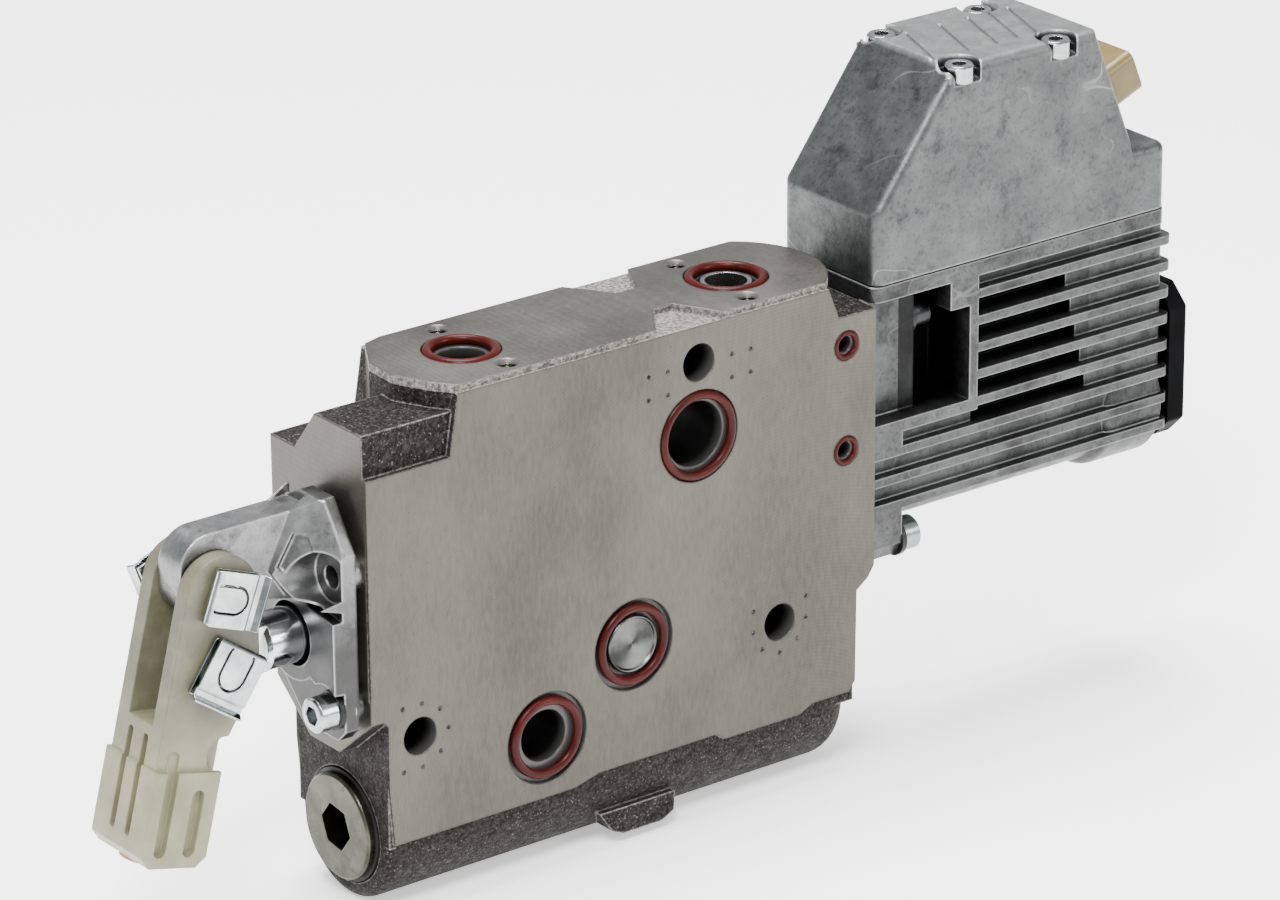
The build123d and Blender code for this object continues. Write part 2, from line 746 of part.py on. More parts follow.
def bracket_arm():
    """Arm to the pivot, flat on top, with a round nose and a rising underside."""
    root, nose = plate_front + 1, arm_left + 9.5
    return along_y(make_face([
        Line((root, arm_top), (nose, arm_top)),
        ThreePointArc((nose, arm_top), (arm_left + 2.6, arm_top - 2.9), (arm_left, arm_top - 9.5)),
        Line((arm_left, arm_top - 9.5), (arm_left, pivot_z)),
        ThreePointArc((arm_left, pivot_z), (nose, pivot_z - 8.6), (pin_x + 8.0, pivot_z - 5.2)),
        Line((pin_x + 8.0, pivot_z - 5.2), (root, -23.0)),
        Line((root, -23.0), (root, arm_top))]), -arm_half_width, arm_half_width)


def flare_plane():
    """Outer face of the flared wing, from the arm's top edge to the plate's sloping edge."""
    crest = Vector(wing_crest_x, -arm_half_width, arm_top)
    foot = Vector(plate_front, -plate_half_width, plate_slope_foot)
    corner = Vector(plate_front, -plate_top_reach, plate_top)
    return Plane(origin=crest, x_dir=foot - crest, z_dir=(foot - crest).cross(corner - crest))


def bracket_wing():
    """Flared wing from the arm's front side to the plate, with a flat outer face and a sunk panel in it."""
    root = plate_front + 1
    wing = along_y(outline([
        (root, plate_top), (plate_front, plate_top), (wing_crest_x, arm_top), (wing_crest_x - 7.7, -11.0),
        (wing_crest_x - 2.1, -19.5), (root, -22.5)]), -plate_half_width, -arm_half_width + 0.4)
    wing -= flare_plane() * Pos(0, 0, 20) * Box(90, 90, 40)
    panel = outline([(4.6, -3.8), (7.7, -1.6), (11.4, -3.2), (14.0, -8.0), (13.0, -14.0), (7.2, -13.6)])
    return wing - flare_plane() * extrude(panel, -2.6)


def bracket_scoops():
    """Room for the key at each bolt, widening away from the plate."""
    cuts = rod_x(0, spool_z, bracket_bore_radius, plate_front - 16, left_end + 1)
    for y, z in bracket_bolt_places():
        cuts += Pos(plate_front - 12, y, z) * Rot(0, 90, 0) * Cone(scoop_radius + 2.6, scoop_radius, 24)
        cuts += rod_x(y, z, bolt_hole_radius, plate_front - 3, left_end + 1)
    return cuts


def lever_bracket():
    """Die-cast bracket: plate on three spacers, arm to the pivot and a scooped wing on both sides."""
    wing = bracket_wing()
    body = bracket_plate() + bracket_arm() + wing + mirror(wing, about=Plane.XZ)
    body -= along_x(outline([(arm_half_width, arm_top), (arm_half_width, 20), (30, 20), (30, -15.3)]),
                    plate_front - 20, plate_front + 6)
    for y, z in bracket_bolt_places():
        body += rod_x(y, z, spacer_radius, plate_front + plate_thickness - 1, left_end)
    body -= bracket_scoops()
    return body - rod_y(pin_x, pivot_z, pin_radius + pin_gap, -arm_half_width - 1, arm_half_width + 1)


def cap_screw_x(y, z, seat, direction, length):
    """Socket-head cap screw along X, with its head's underside at the seat."""
    head_end = seat - direction * bolt_head_height
    head = rod_x(y, z, bolt_head_radius, min(seat, head_end), max(seat, head_end))
    rim = head.edges().filter_by(GeomType.CIRCLE).sort_by(Axis.X)
    head = chamfer(rim[0] if direction > 0 else rim[-1], 0.6)
    tip = seat + direction * length
    body = head + rod_x(y, z, bolt_radius - 0.55, min(seat, tip), max(seat, tip))
    socket_end = head_end + direction * 3.2
    socket = Pos(y, z) * RegularPolygon(hex_socket_flats / 2, 6, major_radius=False)
    return body - along_x(socket, min(head_end - direction, socket_end), max(head_end - direction, socket_end))


def washer_x(y, z, seat, direction):
    end = seat - direction * washer_thickness
    ring = rod_x(y, z, washer_radius, min(seat, end), max(seat, end))
    return ring - rod_x(y, z, bolt_radius + 0.2, min(seat, end) - 1, max(seat, end) + 1)


def bracket_screws():
    seat = plate_front - washer_thickness
    length = left_end + thread_reach - seat
    return Compound(children=[cap_screw_x(y, z, seat, 1, length) for y, z in bracket_bolt_places()[:2]])


def bracket_washers():
    return Compound(children=[washer_x(y, z, plate_front, 1) for y, z in bracket_bolt_places()[:2]])


# Actuator: finned housing, cover, electronics and pilot solenoids

def fin_levels():
    return [fin_top_z - fin_pitch * k for k in range(fin_count)]


def core_right():
    return housing_right - fin_overhang


def housing_core():
    half = housing_half_width - fin_reach
    bottom = fin_levels()[-1] - fin_thickness / 2
    core = along_y(outline([
        (housing_left, bottom), (core_right(), bottom), (core_right(), parting_z - 1),
        (housing_left, parting_z - 1)]), -half, half)
    flange_plan = RectangleRounded(cover_right - housing_left, 2 * housing_half_width, 3.0)
    flange_plan = Pos((cover_right + housing_left) / 2, 0) * flange_plan
    flange = along_z(flange_plan, parting_z - flange_height, parting_z)
    chamber = rod_x(0, spool_z, chamber_bore_radius + chamber_wall, housing_left, end_boss_left)
    boss = rod_x(0, spool_z, end_boss_radius, end_boss_left, core_right())
    boss = fillet(boss.edges().filter_by(GeomType.CIRCLE).sort_by(Axis.X)[0], 4)
    wide, narrow = housing_half_width, housing_half_width - 4
    lug_plan = outline([
        (-wide, bottom + 1), (-wide, lug_bottom + 5), (-narrow, lug_bottom), (narrow, lug_bottom),
        (wide, lug_bottom + 5), (wide, bottom + 1)])
    return core + flange + chamber + boss + along_x(lug_plan, housing_left, housing_left + lug_reach)


def fins():
    """Cooling fins round the housing: the upper ones start at the louvres, the lower ones at the block."""
    shapes = []
    for k, level in enumerate(fin_levels()):
        start = louvre_left - post_width if level > pocket_floor_z else housing_left
        end = housing_right
        plan = Pos((start + end) / 2, 0) * Rectangle(end - start, 2 * housing_half_width)
        plan = fillet(plan.vertices().group_by(Axis.X)[-1], 3.0)
        shapes.append(along_z(plan, level - fin_thickness / 2, level + fin_thickness / 2))
    return shapes


def louvres(side):
    """Deep slots between the upper fins, their far ends stepping back towards the bottom."""
    levels = fin_levels()
    cuts = []
    outer = side * (housing_half_width + 1)
    inner = side * (housing_half_width - louvre_depth)
    for k in range(5):
        top = levels[k] - fin_thickness / 2
        bottom = levels[k + 1] + fin_thickness / 2
        end = louvre_right + 2.0 * k
        profile = outline([(louvre_left, bottom), (end, bottom), (end, top), (louvre_left, top)])
        cuts.append(along_y(profile, min(outer, inner), max(outer, inner)))
    return cuts


def side_pockets():
    """Open pocket on each side, with a web between them, and the set-back wall beside the section."""
    top = parting_z - flange_height
    seat = housing_left + pocket_seat
    right = louvre_left - post_width
    cuts = []
    for side in (-1, 1):
        outer = side * (housing_half_width + 1)
        wall = upper_bolt_y + washer_radius + head_clearance
        for start, end, depth in ((seat, right, pocket_web), (housing_left - 1, seat + 1, wall)):
            shape = outline([(start, pocket_floor_z), (end, pocket_floor_z), (end, top), (start, top)])
            cuts.append(along_y(shape, min(outer, side * depth), max(outer, side * depth)))
    return cuts


def housing_cuts():
    cuts = rod_x(0, spool_z, chamber_bore_radius, housing_left - 1, chamber_right)
    cuts += rod_x(0, spool_z, rod_radius + 0.6, chamber_right - 1, chamber_right + chamber_wall + 1)
    cuts += rod_x(0, spool_z, sensor_radius + contact_gap, chamber_right + chamber_wall, housing_right + 1)
    for start in coil_places:
        cuts += rod_x(0, coil_z, coil_radius + contact_gap, start, start + coil_length)
        cuts += rod_z(start + coil_length / 2, 0, 2.2, coil_z, parting_z + 1)
    for y, z, seat in housing_bolt_seats():
        cuts += rod_x(y, z, bolt_hole_radius, housing_left - 1, seat + 1)
        head_end = seat + washer_thickness + bolt_head_height
        cuts += rod_x(y, z, washer_radius + head_clearance, seat, head_end + head_clearance)
    recess = end_recess_outline(0.3)
    return cuts + along_x(recess, core_right() - 3, housing_right + 5)


def end_recess_outline(gap):
    middle = (cap_top + cap_bottom) / 2
    width = 2 * (cap_half_width - 4.5)
    height = cap_top - cap_bottom - 7.0
    return Pos(0, middle) * RectangleRounded(width + 2 * gap, height + 2 * gap, 6.0)


def actuator_housing():
    body = housing_core()
    for fin in fins():
        body += fin
    post_left = louvre_left - post_width
    sill_top = pocket_floor_z
    sill_low = fin_levels()[sill_fin] - 1
    ceiling = parting_z - 2
    body += along_y(outline([
        (post_left, sill_top - 1), (louvre_left, sill_top - 1), (louvre_left, ceiling), (post_left, ceiling)]),
        -housing_half_width, housing_half_width)
    body += along_y(outline([
        (housing_left, sill_low), (louvre_left, sill_low), (louvre_left, sill_top), (housing_left, sill_top)]),
        -housing_half_width, housing_half_width)
    for pocket in side_pockets():
        body -= pocket
    ear_left = post_left - ear_reach
    body += along_y(outline([
        (ear_left, ear_bottom), (louvre_left, ear_bottom), (louvre_left, ceiling), (ear_left, ceiling)]),
        -housing_half_width, housing_half_width)
    recess_left, recess_right = housing_left + lug_reach, louvre_left + post_width
    recess_low, recess_top = fin_levels()[sill_fin] + fin_thickness / 2, sill_top - sill_thickness
    for side in (-1, 1):
        for slot in louvres(side):
            body -= slot
        outer = side * (housing_half_width + 1)
        inner = side * (housing_half_width - sill_recess_depth)
        body -= along_y(outline([
            (recess_left, recess_low), (recess_right, recess_low), (recess_right, recess_top),
            (recess_left, recess_top)]), min(outer, inner), max(outer, inner))
    for x in cover_screw_x:
        for side in (-1, 1):
            body -= rod_z(x, side * cover_screw_y, cover_screw_radius - 0.4, parting_z - 3.8, parting_z + 1)
    for x in (board_left + 4, board_right - 4):
        body += rod_z(x, 0, 3.0, parting_z - 1, parting_z + board_clearance)
    return body - housing_cuts()


def cover_profile(inset):
    """Side view of the hood: upright foot, long slanted end, flat top and a low shoulder at the right."""
    slope = (cover_top - cover_shoulder) / (cover_shoulder_left - cover_top_right)
    return [
        (housing_left + 0.4 + inset, parting_z + gasket_thickness),
        (housing_left + 0.4 + inset, cover_knee_left - 0.35 * inset),
        (cover_top_left + 0.55 * inset, cover_top - inset), (cover_top_right - 0.7 * inset, cover_top - inset),
        (cover_shoulder_left - inset - inset / slope, cover_shoulder - inset),
        (cover_right - inset, cover_shoulder - inset),
        (cover_right - inset, parting_z + gasket_thickness)]


def actuator_cover():
    """Die-cast hood, with a hollow inside, screw wells in its top edges and shallow grooves across the top."""
    half = housing_half_width
    hood = along_y(outline(cover_profile(0)), -half, half)
    uprights = hood.edges().filter_by(Axis.Z)
    hood = fillet(uprights, 3.6)
    sides = hood.faces().sort_by(Axis.Y)
    for face in (sides[0], sides[-1]):
        upper = face.edges().filter_by(lambda e: e.center().Z > parting_z + 6)
        middles = [e.center() for e in upper.filter_by(lambda e: abs(e.tangent_at(0.5).Z) < 0.99)]
        rim = hood.edges().filter_by(lambda e: any((e.center() - m).length < 0.01 for m in middles))
        hood = fillet(rim, 2.8)
    room = along_y(outline(cover_profile(cover_wall)), -half + cover_wall, half - cover_wall)
    room += along_y(outline([
        (housing_left + 0.4 + cover_wall, parting_z), (cover_right - cover_wall, parting_z),
        (cover_right - cover_wall, parting_z + 2), (housing_left + 0.4 + cover_wall, parting_z + 2)]),
        -half + cover_wall, half - cover_wall)
    columns = None
    for x in cover_screw_x:
        for side in (-1, 1):
            foot = parting_z + gasket_thickness
            column = rod_z(x, side * cover_screw_y, cover_pocket_radius + 1.2, foot, cover_top - 3)
            column = column & along_y(outline(cover_profile(0.2)), -half + 0.2, half - 0.2)
            columns = column if columns is None else columns + column
    hood = hood - room + columns
    seat = cover_seat()
    for x in cover_screw_x:
        for side in (-1, 1):
            y = side * cover_screw_y
            hood -= rod_z(x, y, cover_pocket_radius, seat, cover_top + 1)
            hood -= rod_z(x, y, cover_screw_radius + 0.3, parting_z, cover_top)
    for k, x in enumerate((92.0, 104.5, 114.9, 122.7, 129.8)):
        groove = Pos(x + 4.2, 0) * Rot(0, 0, 70) * SlotCenterToCenter(24, 1.0)
        hood -= along_z(groove, cover_top - 0.7, cover_top + 1)
    return hood - connector_place() * Pos(0, 0, -2) * Box(connector_width + 0.4, connector_height + 0.4, 14)


def cover_seat():
    return cover_top - 0.6 - cover_head_height


def cover_gasket():
    width = 2 * housing_half_width - 0.8
    plan = RectangleRounded(cover_right - housing_left - 1.2, width, 2.6) - RectangleRounded(
        cover_right - housing_left - 9.0, width - 8.0, 2.0)
    ring = along_z(Pos((cover_right + housing_left) / 2, 0) * plan, parting_z, parting_z + gasket_thickness)
    for x in cover_screw_x:
        for side in (-1, 1):
            ring -= rod_z(x, side * cover_screw_y, cover_screw_radius + 0.3, parting_z - 1, parting_z + 2)
    return ring


def cover_screw(x, y):
    seat = cover_seat()
    head = rod_z(x, y, cover_head_radius, seat, seat + cover_head_height)
    head = chamfer(head.edges().filter_by(GeomType.CIRCLE).sort_by(Axis.Z)[-1], 0.5)
    screw = head + rod_z(x, y, cover_screw_radius - 0.45, parting_z - 3.5, seat)
    socket = Pos(x, y) * RegularPolygon(2.0, 6, major_radius=False)
    return screw - along_z(socket, seat + 2.4, seat + cover_head_height + 1)


def cover_screws():
    return Compound(children=[cover_screw(x, side * cover_screw_y) for x in cover_screw_x for side in (-1, 1)])


def connector_place():
    """Middle of the opening in the hood's right slope, with Z square to the slope."""
    run, fall = cover_shoulder_left - cover_top_right, cover_top - cover_shoulder
    tilt = math.degrees(math.atan2(fall, run))
    share = connector_share
    return Pos(cover_top_right + share * run, 0, cover_top - share * fall) * Rot(0, tilt, 0) * Rot(0, 0, 90)


def connector():
    """Moulded plug socket with a hollow mouth and a keying rib."""
    body = extrude(RectangleRounded(connector_width, connector_height, 2.5), connector_outside)
    body += extrude(RectangleRounded(connector_width, connector_height, 2.5), -connector_inside)
    mouth = extrude(RectangleRounded(connector_width - 4, connector_height - 4, 1.5), connector_mouth + 1)
    body -= Pos(0, 0, connector_outside - connector_mouth) * mouth
    rib = Pos(0, -connector_height / 2 - 0.5, connector_outside / 2) * Box(8.0, 1.4, connector_outside - 5)
    return connector_place() * (body + rib)


def connector_pins():
    pins = []
    floor = connector_outside - connector_mouth
    for x in (-4.2, 4.2):
        for y in (-2.2, 2.2):
            pins.append(connector_place() * Pos(x, y, floor + 4) * Box(1.6, 0.8, 8))
    return Compound(children=[piece.solid() for piece in pins])


def circuit_board():
    """Board on its two posts, with the driver chip, two capacitors and the connector header."""
    bottom = parting_z + board_clearance
    top = bottom + board_thickness
    middle = (board_left + board_right) / 2
    board = along_z(Pos(middle, 0) * Rectangle(board_right - board_left, board_width), bottom, top)
    for x in cover_screw_x:
        for side in (-1, 1):
            board -= rod_z(x, side * cover_screw_y, cover_pocket_radius + 2.0, bottom - 1, top + 1)
    board += along_z(Pos(middle - 8, 2) * Rectangle(chip_side, chip_side), top, top + 2)
    for y in (-1.5 * capacitor_radius, 1.5 * capacitor_radius):
        board += rod_z(board_left + board_width / 2, y, capacitor_radius, top, top + capacitor_height)
    return board + along_z(Pos(board_right - 8, 0) * Rectangle(6, header_width), top, top + 6)


def pilot_coils():
    coils = []
    for start in coil_places:
        coil = rod_x(0, coil_z, coil_radius, start, start + coil_length)
        coils.append(coil - rod_x(0, coil_z, armature_radius + 0.9, start - 1, start + coil_length + 1))
    return Compound(children=[coil.solid() for coil in coils])


def pilot_tubes():
    """Non-magnetic core tubes inside the coils, closed at their right ends."""
    tubes = []
    for start in coil_places:
        tube = rod_x(0, coil_z, armature_radius + 0.88, start, start + coil_length)
        tubes.append(tube - rod_x(0, coil_z, armature_radius + running_gap, start - 1, start + coil_length - 5))
    return Compound(children=[tube.solid() for tube in tubes])


def pilot_armature(start):
    """Sliding armature with its valve needle at the left, hollow for its return spring."""
    tip = rod_x(0, coil_z, 1.6, start + 0.2, start + 4.5)
    body = rod_x(0, coil_z, armature_radius, start + 4.4, start + 13.4)
    return tip + body - rod_x(0, coil_z, 2.2, start + 10.4, start + 14)


def pilot_spring(start):
    end = start + coil_length - 5
    return Pos(start + 10.45, 0, coil_z) * coil_spring(1.6, 0.6, end - start - 10.5, 6)


def housing_bolt_seats():
    """Middle and seat of the four screws that hold the actuator to the section."""
    low_seat, high_seat = housing_left + lug_reach, housing_left + pocket_seat
    seats = [(side * housing_bolt_y, housing_bolt_z, low_seat) for side in (-1, 1)]
    return seats + [(side * upper_bolt_y, upper_housing_bolt_z, high_seat) for side in (-1, 1)]


def housing_screws():
    screws = []
    for y, z, seat in housing_bolt_seats():
        under_head = seat + washer_thickness
        screws.append(cap_screw_x(y, z, under_head, -1, under_head - right_end + thread_reach).solid())
    return Compound(children=screws)


def housing_washers():
    return Compound(children=[washer_x(y, z, seat, -1).solid() for y, z, seat in housing_bolt_seats()])


def housing_gasket():
    """Flat gasket between the section's end face and the housing."""
    half = housing_half_width - 0.6
    sheet = along_x(outline([(-half, lug_bottom + 6), (half, lug_bottom + 6), (half, right_shoulder - 0.5),
                             (-half, right_shoulder - 0.5)]), right_end, housing_left)
    sheet -= rod_x(0, spool_z, chamber_bore_radius, right_end - 1, housing_left + 1)
    for y, z, _ in housing_bolt_seats():
        sheet -= rod_x(y, z, bolt_hole_radius, right_end - 1, housing_left + 1)
    return sheet


def end_cap():
    """Black moulded cap over the sensor end, with bevelled corners and a plug part between the fin tips."""
    middle = (cap_top + cap_bottom) / 2
    base = housing_right + 0.1
    plan = Pos(0, middle) * Rectangle(2 * cap_half_width, cap_top - cap_bottom)
    shape = chamfer(plan.vertices(), cap_corner)
    cap = along_x(shape, base, base + cap_thickness)
    cap = fillet(cap.edges().filter_by(Axis.X), 2.0)
    cap = fillet(cap.faces().sort_by(Axis.X)[-1].edges(), 1.4)
    return cap + along_x(end_recess_outline(0), core_right() - 2.9, base)


def main():
    os.makedirs("parts", exist_ok=True)
    write("valve_body", valve_body())
    write("pressure_seal", pressure_seal())
    write("tank_seal", tank_seal())
    write("plugged_gallery_seal", plugged_gallery_seal())
    write("pilot_seals", pilot_seals())
    write("port_a_seal", port_seal(port_a_x, port_a_groove_radius))
    write("port_b_seal", port_seal(port_b_x, port_b_groove_radius))
    write("port_b_sleeve", port_b_sleeve())
    write("gallery_plug", gallery_plug())
    write("closing_plug", closing_plug())
    write("closing_plug_seal", closing_plug_seal())
    write("compensator_spool", compensator_spool())
    write("compensator_spring", compensator_spring())
    write("spool_wiper", spool_wiper())
    write("main_spool", main_spool())
    write("spool_rod", spool_rod())
    write("centring_collar", centring_collar())
    write("centring_spring_left", centring_spring_left())
    write("centring_spring_right", centring_spring_right())
    write("sensor_core", sensor_core())
    write("sensor_coil", sensor_coil())
    write("lever", lever())
    write("lever_insert", lever_insert())
    write("pivot_pin", pin(pivot_z))
    write("link_pin", pin(spool_z))
    write("pivot_clips", pivot_clips())
    write("link_clips", link_clips())
    write("lever_bracket", lever_bracket())
    write("bracket_screws", bracket_screws())
    write("bracket_washers", bracket_washers())
    write("actuator_housing", actuator_housing())
    write("actuator_cover", actuator_cover())
    write("cover_gasket", cover_gasket())
    write("cover_screws", cover_screws())
    write("connector", connector())
    write("connector_pins", connector_pins())
    write("circuit_board", circuit_board())
    write("pilot_coils", pilot_coils())
    write("pilot_tubes", pilot_tubes())
    write("pilot_armature_a", pilot_armature(coil_places[0]))
    write("pilot_armature_b", pilot_armature(coil_places[1]))
    write("pilot_spring_a", pilot_spring(coil_places[0]))
    write("pilot_spring_b", pilot_spring(coil_places[1]))
    write("housing_screws", housing_screws())
    write("housing_washers", housing_washers())
    write("housing_gasket", housing_gasket())
    write("end_cap", end_cap())


main()
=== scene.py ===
import math
import bmesh
import bpy
import numpy as np
from mathutils import Matrix, Vector


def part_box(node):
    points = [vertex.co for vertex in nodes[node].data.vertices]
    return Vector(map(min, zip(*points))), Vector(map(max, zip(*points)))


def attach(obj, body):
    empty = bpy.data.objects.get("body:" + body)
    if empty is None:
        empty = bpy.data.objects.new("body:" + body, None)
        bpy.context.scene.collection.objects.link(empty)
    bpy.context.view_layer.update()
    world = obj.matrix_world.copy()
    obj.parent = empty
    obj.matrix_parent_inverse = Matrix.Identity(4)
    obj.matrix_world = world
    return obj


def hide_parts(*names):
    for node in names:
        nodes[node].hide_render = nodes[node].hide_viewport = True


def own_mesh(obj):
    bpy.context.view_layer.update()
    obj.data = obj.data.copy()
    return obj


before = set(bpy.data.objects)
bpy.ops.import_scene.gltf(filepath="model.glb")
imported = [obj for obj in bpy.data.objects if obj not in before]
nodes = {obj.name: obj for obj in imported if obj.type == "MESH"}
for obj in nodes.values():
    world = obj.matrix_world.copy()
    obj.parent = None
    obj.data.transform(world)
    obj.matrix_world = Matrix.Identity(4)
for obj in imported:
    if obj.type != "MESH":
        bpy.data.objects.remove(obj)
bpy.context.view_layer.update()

# The camera stands at the photograph's angle. Its place is in metres, right, up and back are unit
# vectors, and lens and sensor are in millimetres.
cameraSetup = {
    "place": (-0.9991338, -1.3134385, 0.6568170),
    "right": (0.79535365, -0.6061135, -0.00624451),
    "up": (0.23207853, 0.29498855, 0.92688797),
    "back": (-0.55995725, -0.73865295, 0.37528615),
    "lens": 179.6, "sensor": 36.0, "nearest": 0.05, "farthest": 30.0,
}

studio = {
    "floorLevel": -0.1172, "floorReach": 6.0,
    "floorColour": (0.96, 0.96, 0.96), "floorShade": 0.985,  # share of the colour in its darker clouds
    "floorCloud": (3.0, 2.0), "floorRough": 0.85, "floorGlow": 0.6,
    "skyColour": (0.95, 0.97, 1.0), "skyStrength": 0.85,
    "lamps": [  # name, place, target, size, power
        ("keyLamp", (-0.9, -0.9, 1.5), (0.0, 0.0, 0.0), 0.7, 64.0),
        ("frontLamp", (0.9, -1.6, 0.7), (0.0, 0.0, 0.0), 0.8, 22.0),
        ("topLamp", (0.1, 0.3, 1.8), (0.0, 0.0, 0.0), 1.2, 110.0),
        ("leftLamp", (-1.8, 0.2, 0.5), (0.0, 0.0, 0.0), 0.6, 9.0),
    ],
}


def placeCamera():
    eye = bpy.data.cameras.new("camera")
    eye.lens = cameraSetup["lens"]
    eye.sensor_width = cameraSetup["sensor"]
    eye.clip_start = cameraSetup["nearest"]
    eye.clip_end = cameraSetup["farthest"]
    holder = bpy.data.objects.new("camera", eye)
    bpy.context.scene.collection.objects.link(holder)
    turn = Matrix([cameraSetup["right"], cameraSetup["up"], cameraSetup["back"]]).transposed()
    holder.matrix_world = Matrix.Translation(cameraSetup["place"]) @ turn.to_4x4()
    bpy.context.scene.camera = holder


def lightStudio():
    for name, place, target, size, power in studio["lamps"]:
        lamp = bpy.data.lights.new(name, "AREA")
        lamp.shape = "DISK"
        lamp.size = size
        lamp.energy = power
        holder = bpy.data.objects.new(name, lamp)
        bpy.context.scene.collection.objects.link(holder)
        holder.location = place
        holder.rotation_euler = (Vector(target) - Vector(place)).to_track_quat("-Z", "Y").to_euler()
    world = bpy.data.worlds.new("studio")
    bpy.context.scene.world = world
    world.use_nodes = True
    sky = world.node_tree.nodes["Background"]
    sky.inputs["Color"].default_value = (*studio["skyColour"], 1.0)
    sky.inputs["Strength"].default_value = studio["skyStrength"]


def layFloor():
    level, reach = studio["floorLevel"], studio["floorReach"]
    corners = [(-reach, -reach, level), (reach, -reach, level), (reach, reach, level), (-reach, reach, level)]
    mesh = bpy.data.meshes.new("floor")
    mesh.from_pydata(corners, [], [(0, 1, 2, 3)])
    floor = bpy.data.objects.new("floor", mesh)
    bpy.context.scene.collection.objects.link(floor)
    material, tree, shader = startMaterial("paleFloor")
    shader.inputs["Roughness"].default_value = studio["floorRough"]
    shader.inputs["Emission Color"].default_value = (1.0, 1.0, 1.0, 1.0)
    shader.inputs["Emission Strength"].default_value = studio["floorGlow"]
    darker = tuple(c * studio["floorShade"] for c in studio["floorColour"])
    shade = blendColours(tree, noiseField(tree, *studio["floorCloud"]), studio["floorColour"], darker)
    tree.links.new(shade, shader.inputs["Base Color"])
    mesh.materials.append(material)


# Small helpers that the node materials below are made with.


def startMaterial(name):
    material = bpy.data.materials.new(name)
    material.use_nodes = True
    tree = material.node_tree
    shader = next(n for n in tree.nodes if n.type == "BSDF_PRINCIPLED")
    return material, tree, shader


def put(tree, kind, inputs=None, **settings):
    node = tree.nodes.new(kind)
    for key, value in settings.items():
        setattr(node, key, value)
    for key, value in (inputs or {}).items():
        if isinstance(value, bpy.types.NodeSocket):
            tree.links.new(value, node.inputs[key])
        else:
            node.inputs[key].default_value = value
    return node


def objectPlace(tree):
    return put(tree, "ShaderNodeTexCoord").outputs["Object"]


def axisPlaces(tree):
    return put(tree, "ShaderNodeSeparateXYZ", {0: objectPlace(tree)}).outputs


def noiseField(tree, scale, detail=4.0, rough=0.55, stretch=(1, 1, 1), turn=(0, 0, 0)):
    mapping = put(tree, "ShaderNodeMapping",
                  {"Vector": objectPlace(tree), "Rotation": turn, "Scale": stretch})
    noise = put(tree, "ShaderNodeTexNoise",
                {"Vector": mapping.outputs[0], "Scale": scale, "Detail": detail, "Roughness": rough})
    return noise.outputs["Fac"]


def pitField(tree, scale, size):
    # 1 in round spots that stand in about half of the cells of a random lattice
    cells = put(tree, "ShaderNodeTexVoronoi", {"Vector": objectPlace(tree), "Scale": scale})
    near = maths(tree, "LESS_THAN", cells.outputs["Distance"], size)
    chosen = put(tree, "ShaderNodeSeparateXYZ", {0: cells.outputs["Color"]}).outputs[0]
    return maths(tree, "MULTIPLY", near, maths(tree, "GREATER_THAN", chosen, 0.5))


def remap(tree, value, low, high, newLow=0.0, newHigh=1.0):
    return put(tree, "ShaderNodeMapRange", {
        "Value": value, "From Min": low, "From Max": high, "To Min": newLow, "To Max": newHigh}).outputs[0]


def maths(tree, operation, first, second=0.0):
    return put(tree, "ShaderNodeMath", {0: first, 1: second}, operation=operation).outputs[0]


def share(tree, value, part):
    return maths(tree, "MULTIPLY", value, part)


def vectors(tree, operation, first, second):
    node = put(tree, "ShaderNodeVectorMath", {0: first, 1: second}, operation=operation)
    return node.outputs["Value" if operation in ("DISTANCE", "DOT_PRODUCT") else "Vector"]


def anyOf(tree, masks):
    total = masks[0]
    for mask in masks[1:]:
        total = maths(tree, "MAXIMUM", total, mask)
    return total


def within(tree, value, low, high):
    above = maths(tree, "GREATER_THAN", value, low)
    return maths(tree, "MULTIPLY", above, maths(tree, "LESS_THAN", value, high))


def blendColours(tree, amount, first, second):
    node = put(tree, "ShaderNodeMix", {0: amount}, data_type="RGBA")
    for slot, value in ((6, first), (7, second)):  # the node's two colour inputs
        if isinstance(value, bpy.types.NodeSocket):
            tree.links.new(value, node.inputs[slot])
        else:
            node.inputs[slot].default_value = (*value, 1.0)
    return node.outputs[2]


def blendValues(tree, amount, first, second):
    return put(tree, "ShaderNodeMix", {0: amount, 2: first, 3: second}).outputs[0]


def bumps(tree, layers, normal):
    # each layer is (height, distance in metres, strength), laid one over the other
    for height, distance, strength in layers:
        wanted = {"Height": height, "Distance": distance, "Strength": strength, "Normal": normal}
        normal = put(tree, "ShaderNodeBump", wanted).outputs[0]
    return normal


# Where the rounded normal is less like the plain one than "flat", wear starts, and it is full at "turned".
edgeWear = {"samples": 6, "flat": 0.985, "turned": 0.80}


def softEdges(tree, radius):
    # rounded normal near edges, and a mask of where it leaves the flat face
    rounded = put(tree, "ShaderNodeBevel", {"Radius": radius}, samples=edgeWear["samples"]).outputs[0]
    plain = put(tree, "ShaderNodeNewGeometry").outputs["Normal"]
    likeness = vectors(tree, "DOT_PRODUCT", rounded, plain)
    return rounded, remap(tree, likeness, edgeWear["flat"], edgeWear["turned"])


def offAxis(tree, place, flatten, centre):
    # distance in metres from the line through the centre, along the axis that flatten leaves out
    return vectors(tree, "DISTANCE", vectors(tree, "MULTIPLY", place, flatten), centre)


def insideBore(tree, place, flatten, centre, radius):
    return maths(tree, "LESS_THAN", offAxis(tree, place, flatten, centre), radius)


# In the tables below a pattern is a noise's scale and detail, then its roughness, stretch and turn if it
# has them, and a "Detail" is only the detail and roughness, for a scale that each finish sets. A span is
# the noise's low and high value, and the new low and high if they aren't 0 and 1.

